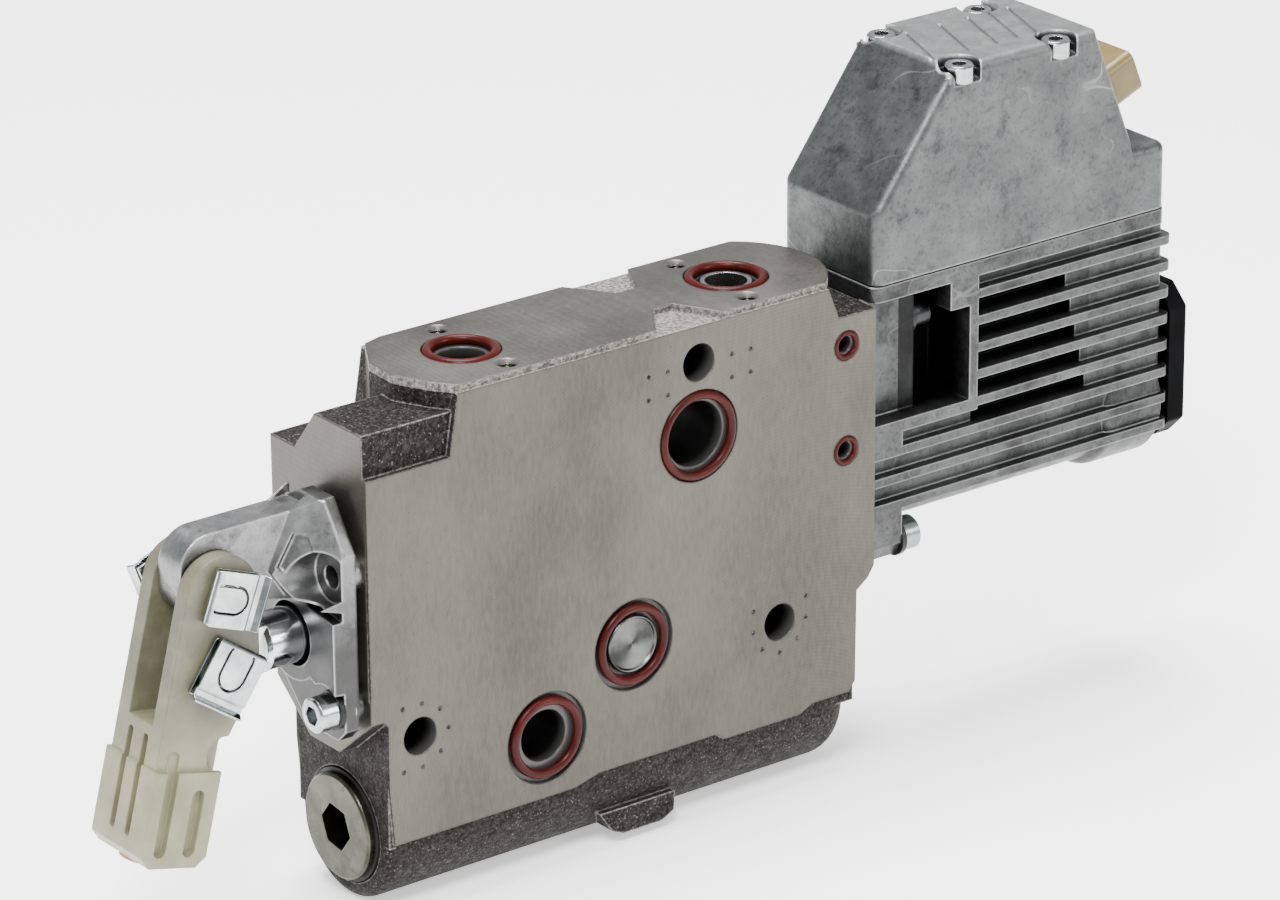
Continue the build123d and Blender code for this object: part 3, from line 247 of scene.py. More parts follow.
# Turned, ground and plated metals: cloudy tone, fine grain, brighter worn edges.
metalFinishes = {
    "turnedSteel": {
        "dark": (0.17, 0.17, 0.17), "light": (0.32, 0.32, 0.31), "metal": 1.0, "smooth": 0.20, "dull": 0.36,
        "grain": 900.0, "grainDepth": 0.00002, "edge": 0.0004, "edgeGain": 0.35,
    },
    "groundSteel": {
        "dark": (0.46, 0.47, 0.49), "light": (0.66, 0.67, 0.68), "metal": 1.0, "smooth": 0.10, "dull": 0.20,
        "grain": 1400.0, "grainDepth": 0.00001, "edge": 0.0003, "edgeGain": 0.25,
    },
    "platedSteel": {
        "dark": (0.040, 0.040, 0.029), "light": (0.082, 0.082, 0.063), "metal": 1.0, "smooth": 0.24,
        "dull": 0.40, "grain": 800.0, "grainDepth": 0.00003, "edge": 0.0005, "edgeGain": 0.5,
    },
    "brightZinc": {
        "dark": (0.26, 0.28, 0.285), "light": (0.50, 0.53, 0.53), "metal": 1.0, "smooth": 0.12,
        "dull": 0.28, "grain": 500.0, "grainDepth": 0.00004, "edge": 0.0003, "edgeGain": 0.3,
    },
    "shadedZinc": {
        "dark": (0.20, 0.215, 0.22), "light": (0.40, 0.42, 0.42), "metal": 1.0, "smooth": 0.16,
        "dull": 0.32, "grain": 500.0, "grainDepth": 0.00004, "edge": 0.0003, "edgeGain": 0.2,
        # painted shadow: above this height the screws are darkened, where they sit in shade under the lug
        "paintedShadowAbove": -0.02,
    },
    "springSteel": {
        "dark": (0.20, 0.20, 0.21), "light": (0.34, 0.34, 0.35), "metal": 1.0, "smooth": 0.3, "dull": 0.45,
        "grain": 900.0, "grainDepth": 0.00002, "edge": 0.0003, "edgeGain": 0.3,
    },
    "blackSteel": {
        "dark": (0.005, 0.005, 0.0055), "light": (0.014, 0.014, 0.015), "metal": 0.6, "smooth": 0.35,
        "dull": 0.5, "grain": 900.0, "grainDepth": 0.00002, "edge": 0.0003, "edgeGain": 0.12,
    },
    "pinBrass": {
        "dark": (0.45, 0.33, 0.12), "light": (0.72, 0.56, 0.25), "metal": 1.0, "smooth": 0.2, "dull": 0.35,
        "grain": 900.0, "grainDepth": 0.00001, "edge": 0.0002, "edgeGain": 0.2,
    },
}

metalSurface = {
    "cloud": (110.0, 5.0, 0.6), "cloudSpan": (0.35, 0.68),
    "grainDetail": (3.0, 0.6), "grainStrength": 0.8,
    "specksPerGrain": 0.35, "speckDetail": (6.0, 0.7), "speckSpan": (0.34, 0.46),
    "brightGain": 1.35, "brightLift": 0.08, "paintedShadow": 0.15,
    "gloss": (130.0, 5.0, 0.65), "glossSpan": (0.3, 0.7),
}


def metalMaterial(name):
    finish, surface = metalFinishes[name], metalSurface
    material, tree, shader = startMaterial(name)
    cloud = remap(tree, noiseField(tree, *surface["cloud"]), *surface["cloudSpan"])
    grain = noiseField(tree, finish["grain"], *surface["grainDetail"])
    rounded, edge = softEdges(tree, finish["edge"])
    base = blendColours(tree, cloud, finish["dark"], finish["light"])
    specks = noiseField(tree, finish["grain"] * surface["specksPerGrain"], *surface["speckDetail"])
    base = blendColours(tree, remap(tree, specks, *surface["speckSpan"]), finish["dark"], base)
    bright = tuple(min(1.0, c * surface["brightGain"] + surface["brightLift"]) for c in finish["light"])
    base = blendColours(tree, share(tree, edge, finish["edgeGain"]), base, bright)
    # painted shadow: above a height the colour falls to a share of the dark colour
    if "paintedShadowAbove" in finish:
        paintedShadow = maths(tree, "GREATER_THAN", axisPlaces(tree)[2], finish["paintedShadowAbove"])
        base = blendColours(tree, paintedShadow, base, tuple(c * surface["paintedShadow"] for c in finish["dark"]))
    tree.links.new(base, shader.inputs["Base Color"])
    gloss = noiseField(tree, *surface["gloss"])
    rough = remap(tree, gloss, *surface["glossSpan"], finish["smooth"], finish["dull"])
    tree.links.new(rough, shader.inputs["Roughness"])
    shader.inputs["Metallic"].default_value = finish["metal"]
    normal = bumps(tree, [(grain, finish["grainDepth"], surface["grainStrength"])], rounded)
    tree.links.new(normal, shader.inputs["Normal"])
    return material


# Die-cast aluminium: broad clouds, dark stains, painted shade in the housing's hollows, pale flow lines and
# bright
# corners. Painted light along z: the colour turns to "shade" from shadeFrom to shadeTo, but not on the edges;
# this is painted shade over the bracket's lower part and a painted highlight along the cover's top.
castFinishes = {
    "bracketCasting": {
        "stain": (0.035, 0.035, 0.035), "dark": (0.095, 0.095, 0.095), "light": (0.250, 0.250, 0.250),
        "bright": (0.62, 0.62, 0.62), "stainLow": 0.26, "stainHigh": 0.44, "stainScale": 110.0,
        "metal": 0.95, "smooth": 0.26, "dull": 0.44, "grit": 0.00005, "flow": 0.0, "speck": 0.25,
        # painted shade: the bracket darkens towards its bottom
        "edge": 0.0011, "edgeShare": 0.32, "shade": (0.026, 0.026, 0.025), "shadeFrom": -0.004,
        "shadeTo": -0.034, "shadeMost": 0.9,
    },
    "coverCasting": {
        "stain": (0.022, 0.024, 0.024), "dark": (0.042, 0.045, 0.0442), "light": (0.104, 0.1095, 0.108),
        "bright": (0.42, 0.43, 0.43), "stainLow": 0.28, "stainHigh": 0.46, "stainScale": 120.0,
        "metal": 0.9, "smooth": 0.30, "dull": 0.52, "grit": 0.00008, "flow": 0.28, "speck": 0.4,
        # painted highlight: the cover lightens along its top
        "edge": 0.0012, "edgeShare": 0.55, "shade": (0.34, 0.35, 0.35), "shadeFrom": 0.0855,
        "shadeTo": 0.0868, "shadeMost": 0.55,
    },
    "housingCasting": {
        "stain": (0.014, 0.014, 0.014), "dark": (0.027, 0.028, 0.027), "light": (0.086, 0.088, 0.086),
        "bright": (0.46, 0.47, 0.46), "stainLow": 0.30, "stainHigh": 0.50, "stainScale": 75.0, "metal": 0.9,
        "smooth": 0.32, "dull": 0.56, "grit": 0.00010, "flow": 0.10, "speck": 0.5, "edge": 0.0009,
        "edgeShare": 0.5,
    },
}

castSurface = {
    "cloud": (48.0, 6.0, 0.62), "cloudSpan": (0.33, 0.68), "cloudDepth": 0.0002, "cloudStrength": 0.35,
    "mottle": (420.0, 5.0, 0.7), "mottleSpan": (0.34, 0.62), "mottleShare": 0.35,
    "grit": (1300.0, 3.0, 0.6), "gritStrength": 0.8, "stainDetail": (8.0, 0.7),
    "specks": (800.0, 4.0, 0.65), "speckSpan": (0.46, 0.36),
    "drift": (11.0, 3.0, 0.5, (1.0, 1.0, 1.7), (0.3, 0.5, 0.2)), "driftMiddle": 0.53,
    "lineSpan": (0.0022, 0.0006), "lineDepth": 0.00008, "lineStrength": 0.6,
    "lineBreaks": (30.0, 2.0), "breakSpan": (0.48, 0.60),
    "gloss": (170.0, 6.0, 0.68), "glossSpan": (0.3, 0.7),
}

# Painted shade in the side pockets and louvres of the housing, darker deeper in; places in metres.
shadedPockets = {
    "left": 0.0775, "right": 0.1460, "low": -0.0235, "high": 0.0232, "dark": 0.0135, "clean": 0.0200,
    "pocketShade": (0.0025, 0.0025, 0.0025),
}


def pocketShadeMask(tree):
    x, y, z = axisPlaces(tree)
    # painted shade: darker deeper into the pockets, only inside their box
    depth = remap(tree, maths(tree, "ABSOLUTE", y), shadedPockets["clean"], shadedPockets["dark"])
    area = maths(tree, "MULTIPLY", within(tree, x, shadedPockets["left"], shadedPockets["right"]),
                 within(tree, z, shadedPockets["low"], shadedPockets["high"]))
    return maths(tree, "MULTIPLY", depth, area)


def flowLines(tree):
    # lines lie where a slow noise crosses its middle value, and break up where a second one is low
    surface = castSurface
    drift = noiseField(tree, *surface["drift"])
    crossing = maths(tree, "ABSOLUTE", maths(tree, "SUBTRACT", drift, surface["driftMiddle"]))
    unbroken = remap(tree, noiseField(tree, *surface["lineBreaks"]), *surface["breakSpan"])
    return maths(tree, "MULTIPLY", remap(tree, crossing, *surface["lineSpan"]), unbroken)


def castMaterial(name):
    finish, surface = castFinishes[name], castSurface
    material, tree, shader = startMaterial(name)
    cloud = remap(tree, noiseField(tree, *surface["cloud"]), *surface["cloudSpan"])
    mottle = remap(tree, noiseField(tree, *surface["mottle"]), *surface["mottleSpan"])
    grit = noiseField(tree, *surface["grit"])
    rounded, edge = softEdges(tree, finish["edge"])
    base = blendColours(tree, cloud, finish["dark"], finish["light"])
    base = blendColours(tree, share(tree, mottle, surface["mottleShare"]), base, finish["light"])
    stain = noiseField(tree, finish["stainScale"], *surface["stainDetail"])
    stain = remap(tree, stain, finish["stainLow"], finish["stainHigh"])
    base = blendColours(tree, stain, finish["stain"], base)
    specks = remap(tree, noiseField(tree, *surface["specks"]), *surface["speckSpan"])
    base = blendColours(tree, share(tree, specks, finish["speck"]), base, finish["stain"])
    flow = share(tree, flowLines(tree), finish["flow"])
    base = blendColours(tree, flow, base, finish["bright"])
    base = blendColours(tree, share(tree, edge, finish["edgeShare"]), base, finish["bright"])
    # painted light along z: shade over the bracket's lower part, a highlight along the cover's top
    if "shade" in finish:
        upright = axisPlaces(tree)[2]
        paintedLightMask = remap(tree, upright, finish["shadeFrom"], finish["shadeTo"], 0.0, finish["shadeMost"])
        paintedLightMask = maths(tree, "MULTIPLY", paintedLightMask, maths(tree, "SUBTRACT", 1.0, edge))
        base = blendColours(tree, paintedLightMask, base, finish["shade"])
    # painted shade in the housing's pockets
    if name == "housingCasting":
        base = blendColours(tree, pocketShadeMask(tree), base, shadedPockets["pocketShade"])
    tree.links.new(base, shader.inputs["Base Color"])
    gloss = noiseField(tree, *surface["gloss"])
    rough = remap(tree, gloss, *surface["glossSpan"], finish["smooth"], finish["dull"])
    tree.links.new(rough, shader.inputs["Roughness"])
    shader.inputs["Metallic"].default_value = finish["metal"]
    layers = [(cloud, surface["cloudDepth"], surface["cloudStrength"]),
              (grit, finish["grit"], surface["gritStrength"]),
              (flow, surface["lineDepth"], surface["lineStrength"])]
    tree.links.new(bumps(tree, layers, rounded), shader.inputs["Normal"])
    return material


# Plastics and rubbers: faint clouds, moulded grain, paler edges, and painted shade in patches over the
# lever's upper part.
plasticFinishes = {
    "leverPlastic": {
        "dark": (0.135, 0.129, 0.075), "light": (0.200, 0.191, 0.115), "smooth": 0.40, "dull": 0.54,
        # painted shade: the lever darkens in patches towards its top, between the two heights below, to the
        # colour after them
        "paintedShadeFrom": -0.062, "paintedShadeTo": -0.036, "paintedShade": (0.055, 0.053, 0.032), "grain": 1600.0,
        "grainDepth": 0.00004, "edge": 0.0007,
    },
    "insertPlastic": {
        "dark": (0.26, 0.09, 0.05), "light": (0.36, 0.14, 0.08), "smooth": 0.45, "dull": 0.6,
        "grain": 1200.0, "grainDepth": 0.00004, "edge": 0.0005,
    },
    "connectorNylon": {
        "dark": (0.092, 0.062, 0.010), "light": (0.135, 0.096, 0.018), "smooth": 0.28, "dull": 0.42,
        "grain": 900.0, "grainDepth": 0.00004, "edge": 0.0005,
    },
    "capPlastic": {
        "dark": (0.0008, 0.0008, 0.001), "light": (0.0024, 0.0024, 0.0028), "smooth": 0.42, "dull": 0.58,
        "shine": 0.02, "grain": 1500.0, "grainDepth": 0.00004, "edge": 0.0008,
    },
    "coilPlastic": {
        "dark": (0.012, 0.012, 0.013), "light": (0.03, 0.03, 0.03), "smooth": 0.4, "dull": 0.6,
        "grain": 1200.0, "grainDepth": 0.00003, "edge": 0.0004,
    },
    "boardLaminate": {
        "dark": (0.01, 0.09, 0.035), "light": (0.02, 0.14, 0.06), "smooth": 0.3, "dull": 0.5,
        "grain": 700.0, "grainDepth": 0.00002, "edge": 0.0002,
    },
    "sealRubber": {
        "dark": (0.024, 0.0022, 0.0016), "light": (0.040, 0.0038, 0.0028), "smooth": 0.26, "dull": 0.40,
        "shine": 0.10, "grain": 1400.0, "grainDepth": 0.00002, "edge": 0.0002,
    },
    "blackRubber": {
        "dark": (0.003, 0.003, 0.003), "light": (0.009, 0.009, 0.009), "smooth": 0.4, "dull": 0.6,
        "shine": 0.2, "grain": 1200.0, "grainDepth": 0.00003, "edge": 0.0002,
    },
}

plasticSurface = {
    "cloud": (70.0, 4.0, 0.6), "cloudSpan": (0.35, 0.68),
    "grainDetail": (3.0, 0.6), "grainStrength": 0.7,
    "wornGain": 1.18, "wornLift": 0.01, "wornShare": 0.5,
    # the patches of the lever's painted shade
    "paintedShade": (120.0, 5.0, 0.65), "paintedShadeSpan": (0.25, 0.55, 0.45, 0.85),
    "gloss": (160.0, 4.0, 0.6), "glossSpan": (0.3, 0.7), "shine": 0.5,
}


def plasticMaterial(name):
    finish, surface = plasticFinishes[name], plasticSurface
    material, tree, shader = startMaterial(name)
    cloud = remap(tree, noiseField(tree, *surface["cloud"]), *surface["cloudSpan"])
    grain = noiseField(tree, finish["grain"], *surface["grainDetail"])
    rounded, edge = softEdges(tree, finish["edge"])
    base = blendColours(tree, cloud, finish["dark"], finish["light"])
    worn = tuple(min(1.0, c * surface["wornGain"] + surface["wornLift"]) for c in finish["light"])
    base = blendColours(tree, share(tree, edge, surface["wornShare"]), base, worn)
    # painted shade, in patches, growing towards the top of the lever
    if "paintedShade" in finish:
        shadeTowardsTop = remap(tree, axisPlaces(tree)[2], finish["paintedShadeFrom"], finish["paintedShadeTo"])
        patches = remap(tree, noiseField(tree, *surface["paintedShade"]), *surface["paintedShadeSpan"])
        base = blendColours(tree, maths(tree, "MULTIPLY", shadeTowardsTop, patches), base, finish["paintedShade"])
    tree.links.new(base, shader.inputs["Base Color"])
    gloss = noiseField(tree, *surface["gloss"])
    rough = remap(tree, gloss, *surface["glossSpan"], finish["smooth"], finish["dull"])
    tree.links.new(rough, shader.inputs["Roughness"])
    shader.inputs["Specular IOR Level"].default_value = finish.get("shine", surface["shine"])
    normal = bumps(tree, [(grain, finish["grainDepth"], surface["grainStrength"])], rounded)
    tree.links.new(normal, shader.inputs["Normal"])
    return material


# Iron section: granular as cast, milled on its faces, with painted shade in its bores. Faces are given by the
# place past which the surface is milled, and bores by two places of the axis and a radius, all in metres.
ironSection = {
    "frontFace": 0.02244, "topFace": 0.03412, "leftFace": -0.11163, "rightFace": 0.06263,
    "bandFrom": 0.0318,  # the unmilled rim just under the top face starts here
    "acrossBores": [(0.0, 0.0, 0.0137), (-0.0531, -0.0764, 0.0137), (-0.023, -0.0566, 0.0137),
                    (0.0523, 0.0142, 0.0046), (0.0523, -0.0175, 0.0046), (0.0, 0.0217, 0.0056),
                    (0.0285, -0.0636, 0.0056), (-0.0958, -0.0638, 0.0056)],
    "uprightBores": [(-0.0639, 0.0, 0.0113), (0.027, 0.0, 0.0123), (-0.0603, 0.01607, 0.0036),
                     (-0.0603, -0.01607, 0.0036), (0.0218, 0.01607, 0.0036), (0.0218, -0.01607, 0.0036)],
    "alongBores": [(0.0, -0.034, 0.0112), (0.0, -0.0955, 0.0168)],
    "uprightFrom": -0.02, "alongUpTo": -0.09,
    "shine": 0.2, "castMetal": 0.5, "milledMetal": 0.92,
    "castRough": (0.50, 0.75), "milledRough": (0.30, 0.42),
}

castSkin = {
    "dark": (0.004, 0.0033, 0.0028), "light": (0.044, 0.040, 0.035),
    "sparkle": (0.19, 0.182, 0.162), "rim": (0.40, 0.385, 0.345),
    "edge": 0.0010, "grit": (900.0, 6.0, 0.75), "gritSpan": (0.44, 0.64), "gritDepth": 0.0010,
    "lumps": (260.0, 4.0, 0.6), "lumpSpan": (0.3, 0.7),
    "sparkles": (1500.0, 2.0, 0.5), "sparkleSpan": (0.64, 0.70), "sparkleShare": 0.75,
    "bandShare": 0.8, "rimSpan": (0.42, 0.60, 0.25, 1.0),
}

milledSkin = {
    "dark": (0.034, 0.0325, 0.0265), "light": (0.104, 0.099, 0.083), "toneSpan": (0.26, 0.70),
    # painted light: the top face gets lighter copies of the milled colours than the side faces, as light
    # falls from above
    "topDark": (0.085, 0.080, 0.070), "topLight": (0.165, 0.157, 0.140), "topSpan": (0.36, 0.62),
    "sweep": (20.0, 4.0, 0.55, (1.0, 1.0, 0.7), (0.0, 0.55, 0.0)), "sweepShare": 0.72,
    "streak": (700.0, 4.0, 0.65, (1.2, 1.0, 0.35), (0.0, 0.25, 0.0)), "streakShare": 0.28,
    "streakDepth": 0.00002, "streakStrength": 0.5,
    "cutterCentre": (0.035, 0.0, -0.115), "cutterPitch": 0.0011, "wander": (25.0, 2.0), "wanderReach": 0.0016,
    "ridgeShare": 0.14, "ridgeDepth": 0.000006, "ridgeStrength": 0.7,
    "pits": [(330.0, 0.055), (700.0, 0.07)],  # cells per metre, and a pit's share of its cell
    "pit": (0.012, 0.011, 0.009), "pitShare": 0.7,
}

# Painted shade in the bores: near black inside, with painted light towards their mouths at the front and top
# faces.
boreShade = {
    "dark": (0.0010, 0.0010, 0.0009), "light": (0.0060, 0.0055, 0.0050), "cloud": (300.0, 4.0),
    "mouth": (0.16, 0.158, 0.15), "mouthDeep": 0.00594, "mouthShare": 0.5,
}


def ironAreas(tree, x, y, z):
    # masks of the milled faces and of the bores
    part = ironSection
    place = objectPlace(tree)
    milled = anyOf(tree, [
        maths(tree, "GREATER_THAN", maths(tree, "ABSOLUTE", y), part["frontFace"]),
        maths(tree, "GREATER_THAN", z, part["topFace"]),
        maths(tree, "LESS_THAN", x, part["leftFace"]),
        maths(tree, "GREATER_THAN", x, part["rightFace"])])
    high = maths(tree, "GREATER_THAN", z, part["uprightFrom"])
    leftward = maths(tree, "LESS_THAN", x, part["alongUpTo"])
    bores = [insideBore(tree, place, (1, 0, 1), (along, 0, rise), radius)
             for along, rise, radius in part["acrossBores"]]
    for along, across, radius in part["uprightBores"]:
        hole = insideBore(tree, place, (1, 1, 0), (along, across, 0), radius)
        bores.append(maths(tree, "MULTIPLY", high, hole))
    for across, rise, radius in part["alongBores"]:
        hole = insideBore(tree, place, (0, 1, 1), (0, across, rise), radius)
        bores.append(maths(tree, "MULTIPLY", leftward, hole))
    return milled, maths(tree, "SUBTRACT", anyOf(tree, bores), milled)


def castColour(tree, z, edge, grit):
    skin = castSkin
    base = blendColours(tree, remap(tree, grit, *skin["gritSpan"]), skin["dark"], skin["light"])
    sparkles = remap(tree, noiseField(tree, *skin["sparkles"]), *skin["sparkleSpan"])
    base = blendColours(tree, share(tree, sparkles, skin["sparkleShare"]), base, skin["sparkle"])
    band = maths(tree, "GREATER_THAN", z, ironSection["bandFrom"])
    rim = anyOf(tree, [edge, share(tree, band, skin["bandShare"])])
    rim = maths(tree, "MULTIPLY", rim, remap(tree, grit, *skin["rimSpan"]))
    return blendColours(tree, rim, base, skin["rim"])


def cutterRidges(tree):
    # ridges left by a face mill: a sine of the distance from the cutter's centre, in metres
    skin = milledSkin
    reach = offAxis(tree, objectPlace(tree), (1, 0, 1), skin["cutterCentre"])
    wander = share(tree, noiseField(tree, *skin["wander"]), skin["wanderReach"])
    turns = maths(tree, "DIVIDE", maths(tree, "ADD", reach, wander), skin["cutterPitch"] / (2 * math.pi))
    return remap(tree, maths(tree, "SINE", turns), -1.0, 1.0)


def milledColour(tree, z, tone, ridges):
    skin = milledSkin
    side = blendColours(tree, remap(tree, tone, *skin["toneSpan"]), skin["dark"], skin["light"])
    # painted light: the milled top face takes the lighter colours
    top = blendColours(tree, remap(tree, tone, *skin["topSpan"]), skin["topDark"], skin["topLight"])
    base = blendColours(tree, maths(tree, "GREATER_THAN", z, ironSection["topFace"]), side, top)
    base = blendColours(tree, share(tree, ridges, skin["ridgeShare"]), base, skin["dark"])
    pits = anyOf(tree, [pitField(tree, scale, size) for scale, size in skin["pits"]])
    return blendColours(tree, share(tree, pits, skin["pitShare"]), base, skin["pit"])


def boreShadeColour(tree, y, z):
    skin, part = boreShade, ironSection
    # painted shade deep in the bore, painted light towards its mouth
    base = blendColours(tree, noiseField(tree, *skin["cloud"]), skin["dark"], skin["light"])
    mouth = anyOf(tree, [
        remap(tree, maths(tree, "ABSOLUTE", y), part["frontFace"] - skin["mouthDeep"], part["frontFace"]),
        remap(tree, z, part["topFace"] - skin["mouthDeep"], part["topFace"])])
    return blendColours(tree, share(tree, mouth, skin["mouthShare"]), base, skin["mouth"])


def ironMaterial():
    material, tree, shader = startMaterial("castIronSection")
    x, y, z = axisPlaces(tree)
    milled, bore = ironAreas(tree, x, y, z)
    machined = anyOf(tree, [milled, bore])
    rounded, edge = softEdges(tree, castSkin["edge"])
    grit = noiseField(tree, *castSkin["grit"])
    ridges = cutterRidges(tree)
    streak = noiseField(tree, *milledSkin["streak"])
    sweep = share(tree, noiseField(tree, *milledSkin["sweep"]), milledSkin["sweepShare"])
    tone = maths(tree, "ADD", sweep, share(tree, streak, milledSkin["streakShare"]))
    base = blendColours(tree, milled, castColour(tree, z, edge, grit), milledColour(tree, z, tone, ridges))
    # painted shade in the bores
    base = blendColours(tree, bore, base, boreShadeColour(tree, y, z))
    tree.links.new(base, shader.inputs["Base Color"])
    lumps = noiseField(tree, *castSkin["lumps"])
    castRough = remap(tree, lumps, *castSkin["lumpSpan"], *ironSection["castRough"])
    milledRough = remap(tree, tone, *milledSkin["topSpan"], *ironSection["milledRough"])
    tree.links.new(blendValues(tree, machined, castRough, milledRough), shader.inputs["Roughness"])
    shader.inputs["Specular IOR Level"].default_value = ironSection["shine"]
    metal = blendValues(tree, milled, ironSection["castMetal"], ironSection["milledMetal"])
    tree.links.new(metal, shader.inputs["Metallic"])
    asCast = maths(tree, "MULTIPLY", grit, maths(tree, "SUBTRACT", 1.0, machined))
    cuts = maths(tree, "MULTIPLY", ridges, milled)
    layers = [(asCast, castSkin["gritDepth"], 1.0),
              (streak, milledSkin["streakDepth"], milledSkin["streakStrength"]),
              (cuts, milledSkin["ridgeDepth"], milledSkin["ridgeStrength"])]
    tree.links.new(bumps(tree, layers, rounded), shader.inputs["Normal"])
    return material


# Face of the gallery plug: rings left by the lathe and a fan of light about its axis. Places in metres.
turnedFace = {
    "centre": (-0.023, 0.0, -0.0566), "pitch": 0.00034, "depth": 0.000008, "strength": 0.8, "edge": 0.0003,
    "dark": (0.020, 0.020, 0.019), "light": (0.120, 0.120, 0.116), "toneSpan": (0.3, 0.7),
    "ringShare": 0.05, "fanShare": 0.17, "fanBlades": 2.0, "fanTurn": 2.2,
    "cloud": (160.0, 4.0), "cloudShare": 0.5, "toneLift": 0.25, "smooth": 0.20, "dull": 0.34,
}


def turnedFaceMaterial():
    # the tone is a share of the sine of the distance from the axis, a share of the cosine of twice the
    # angle about it, a share of a noise and a constant
    part = turnedFace
    material, tree, shader = startMaterial("turnedFace")
    flat = vectors(tree, "MULTIPLY", objectPlace(tree), (1, 0, 1))
    reach = vectors(tree, "DISTANCE", flat, part["centre"])
    rings = maths(tree, "SINE", maths(tree, "DIVIDE", reach, part["pitch"] / (2 * math.pi)))
    rounded = softEdges(tree, part["edge"])[0]
    spoke = vectors(tree, "SUBTRACT", flat, part["centre"])
    sides = put(tree, "ShaderNodeSeparateXYZ", {0: spoke}).outputs
    fan = share(tree, maths(tree, "ARCTAN2", sides[2], sides[0]), part["fanBlades"])
    fan = maths(tree, "COSINE", maths(tree, "ADD", fan, part["fanTurn"]))
    tone = maths(tree, "ADD", share(tree, rings, part["ringShare"]), share(tree, fan, part["fanShare"]))
    tone = maths(tree, "ADD", tone, share(tree, noiseField(tree, *part["cloud"]), part["cloudShare"]))
    tone = maths(tree, "ADD", tone, part["toneLift"])
    base = blendColours(tree, remap(tree, tone, *part["toneSpan"]), part["dark"], part["light"])
    tree.links.new(base, shader.inputs["Base Color"])
    rough = remap(tree, tone, *part["toneSpan"], part["smooth"], part["dull"])
    tree.links.new(rough, shader.inputs["Roughness"])
    shader.inputs["Metallic"].default_value = 1.0
    tree.links.new(bumps(tree, [(rings, part["depth"], part["strength"])], rounded), shader.inputs["Normal"])
    return material


nodeFinishes = {
    "valve_body": "castIronSection", "pressure_seal": "sealRubber", "tank_seal": "sealRubber",
    "plugged_gallery_seal": "sealRubber", "pilot_seals": "sealRubber", "port_a_seal": "sealRubber",
    "port_b_seal": "sealRubber", "port_b_sleeve": "turnedSteel", "gallery_plug": "turnedFace",
    "closing_plug": "platedSteel", "closing_plug_seal": "blackRubber", "compensator_spool": "groundSteel",
    "compensator_spring": "springSteel", "spool_wiper": "blackRubber", "main_spool": "groundSteel",
    "spool_rod": "groundSteel", "centring_collar": "turnedSteel", "centring_spring_left": "springSteel",
    "centring_spring_right": "springSteel", "sensor_core": "turnedSteel", "sensor_coil": "coilPlastic",
    "lever": "leverPlastic", "lever_insert": "insertPlastic", "pivot_pin": "turnedSteel",
    "link_pin": "turnedSteel", "pivot_clips": "brightZinc", "link_clips": "brightZinc",
    "lever_bracket": "bracketCasting", "bracket_screws": "brightZinc", "bracket_washers": "blackSteel",
    "actuator_housing": "housingCasting", "actuator_cover": "coverCasting", "cover_gasket": "blackRubber",
    "cover_screws": "brightZinc", "connector": "connectorNylon", "connector_pins": "pinBrass",
    "circuit_board": "boardLaminate", "pilot_coils": "coilPlastic", "pilot_tubes": "turnedSteel",
    "pilot_armature_a": "turnedSteel", "pilot_armature_b": "turnedSteel", "pilot_spring_a": "springSteel",
    "pilot_spring_b": "springSteel", "housing_screws": "shadedZinc", "housing_washers": "blackSteel",
    "housing_gasket": "blackRubber", "end_cap": "capPlastic",
}


def makeFinishes():
    made = {"castIronSection": ironMaterial(), "turnedFace": turnedFaceMaterial()}
    for name in metalFinishes:
        made[name] = metalMaterial(name)
    for name in castFinishes:
        made[name] = castMaterial(name)
    for name in plasticFinishes:
        made[name] = plasticMaterial(name)
    return made


def dressNodes(finishes):
    for name, piece in nodes.items():
        for slot in piece.material_slots:
            slot.material = finishes[nodeFinishes[name]]


# Ring seals and threads are grids of points, one closed row after another, joined into quads.


def gridFaces(rows, columns):
    row = np.arange(rows)[:, None]
    column = np.arange(columns)[None, :]
    nextRow = (row + 1) % rows
    nextColumn = (column + 1) % columns
    corners = [row * columns + column, nextRow * columns + column,
               nextRow * columns + nextColumn, row * columns + nextColumn]
    return np.stack(corners, axis=-1).reshape(-1, 4)


def makePiece(name, points, faces, material):
    mesh = bpy.data.meshes.new(name)
    mesh.from_pydata(points.reshape(-1, 3).tolist(), [], faces.tolist())
    mesh.polygons.foreach_set("use_smooth", np.full(len(mesh.polygons), True))
    mesh.materials.append(material)
    mesh.update()
    piece = bpy.data.objects.new(name, mesh)
    bpy.context.scene.collection.objects.link(piece)
    return piece


# Ring seals, round in section where the CAD ones have flats. Each node has its axis.
ringSeals = {"around": 96, "across": 24, "nodes": {
    "pressure_seal": "y", "tank_seal": "y", "plugged_gallery_seal": "y", "pilot_seals": "y",
    "port_a_seal": "z", "port_b_seal": "z"}}


def ringPoints(centre, radius, section, axis):
    # a point is the centre, plus (radius + half the section * cosine of the section's angle) outwards at
    # the ring's angle, plus half the section * sine of the section's angle along the axis
    ringAngle = np.linspace(0, 2 * math.pi, ringSeals["around"], endpoint=False)[:, None]
    sectionAngle = np.linspace(0, 2 * math.pi, ringSeals["across"], endpoint=False)[None, :]
    reach = radius + section / 2 * np.cos(sectionAngle)
    first, second = reach * np.cos(ringAngle), reach * np.sin(ringAngle)
    rise = section / 2 * np.sin(sectionAngle) + 0 * ringAngle
    parts = (first, -rise, second) if axis == "y" else (first, second, rise)
    return np.stack(parts, axis=-1) + np.array(centre)


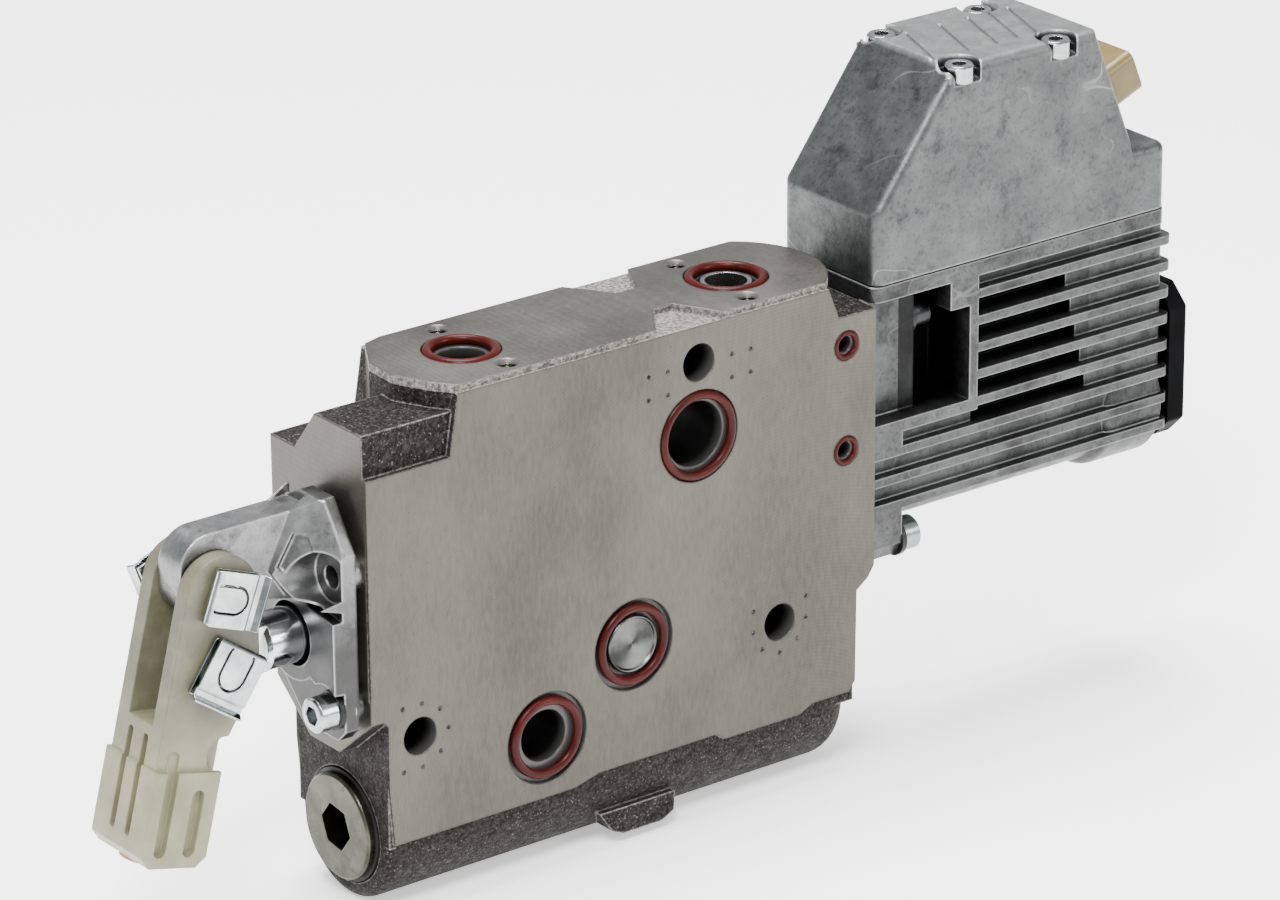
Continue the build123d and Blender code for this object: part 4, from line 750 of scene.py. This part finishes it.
def makeRingSeals(finishes):
    around, across = ringSeals["around"], ringSeals["across"]
    for node, axis in ringSeals["nodes"].items():
        low, high = (np.array(corner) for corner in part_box(node))
        outer = (high[0] - low[0]) / 2
        middle = (low + high) / 2
        section = (high - low)["xyz".index(axis)]
        centres = [middle]
        if node == "pilot_seals":  # two rings, one at each end of the node's box
            centres = [np.array([middle[0], middle[1], z]) for z in (low[2] + outer, high[2] - outer)]
        points = [ringPoints(centre, outer - section / 2, section, axis).reshape(-1, 3) for centre in centres]
        points = np.concatenate(points)
        faces = [gridFaces(around, across) + k * around * across for k in range(len(centres))]
        piece = makePiece("smooth_" + node, points, np.concatenate(faces), finishes["sealRubber"])
        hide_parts(node)
        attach(piece, "valve")


# Screw threads in the tapped holes of the top face, in metres. The crest and the swing are shares of the
# depth: the thread stands out by crest + swing at most.
tappedHoles = {
    "outer": 0.00252, "depth": 0.00034, "crest": 0.55, "swing": 0.45, "pitch": 0.001, "top": 0.0331,
    "length": 0.0125, "around": 32, "perPitch": 6,
    "places": [(-0.0603, 0.01607), (-0.0603, -0.01607), (0.0218, 0.01607), (0.0218, -0.01607)],
}


def makeThreads(finishes):
    # inner radius = outer radius - depth * (crest + swing * cosine of (angle - 2 pi * height / pitch)),
    # with a plain wall behind it, so that each thread is a closed sleeve
    part = tappedHoles
    levels = int(part["length"] / part["pitch"]) * part["perPitch"] + 1
    height = np.linspace(0, part["length"], levels)
    height = np.concatenate([height, height[::-1]])[:, None]
    angle = np.linspace(0, 2 * math.pi, part["around"], endpoint=False)[None, :]
    inner = (np.arange(2 * levels) < levels)[:, None]
    wave = part["crest"] + part["swing"] * np.cos(angle - 2 * math.pi * height / part["pitch"])
    reach = part["outer"] - np.where(inner, part["depth"] * wave, 0.0)
    faces = gridFaces(2 * levels, part["around"])[:, ::-1]
    rise = part["top"] - height + 0 * reach
    for k, (x, y) in enumerate(part["places"]):
        points = np.stack([x + reach * np.cos(angle), y + reach * np.sin(angle), rise], axis=-1)
        # the threads take the dark platedSteel finish as painted shade deep in the tapped holes
        piece = makePiece(f"thread_{k}", points, faces, finishes["platedSteel"])
        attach(piece, "valve")


# Coil springs, copied from the CAD ones with their corners welded. Each has the joint, the end that stays,
# and the travel in metres.
coilSprings = {
    "centring_spring_left": ("spool_slide", "low", 0.007),
    "centring_spring_right": ("spool_slide", "high", 0.007),
    "compensator_spring": ("compensator_slide", "low", 0.006),
    "pilot_spring_a": ("armature_a_slide", "high", 0.001),
    "pilot_spring_b": ("armature_b_slide", "high", 0.001),
}
springWeld = 0.000001  # corners nearer than this are one


def makeSprings(finishes):
    for node, (joint, fixedEnd, travel) in coilSprings.items():
        source = nodes[node]
        piece = makePiece("wound_" + node, np.zeros((0, 3)), np.zeros((0, 4), int), finishes["springSteel"])
        shape = bmesh.new()
        shape.from_mesh(source.data)
        shape.transform(source.matrix_world)
        bmesh.ops.remove_doubles(shape, verts=shape.verts, dist=springWeld)
        bmesh.ops.recalc_face_normals(shape, faces=shape.faces)
        for face in shape.faces:
            face.smooth = False
            face.material_index = 0
        shape.to_mesh(piece.data)
        shape.free()
        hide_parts(node)
        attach(piece, "valve")
        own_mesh(piece)


placeCamera()
lightStudio()
layFloor()
print("studio ready")
finishes = makeFinishes()
dressNodes(finishes)
print("finishes on", len(nodes), "nodes")
makeRingSeals(finishes)
makeThreads(finishes)
makeSprings(finishes)
print("seals, threads and springs made")
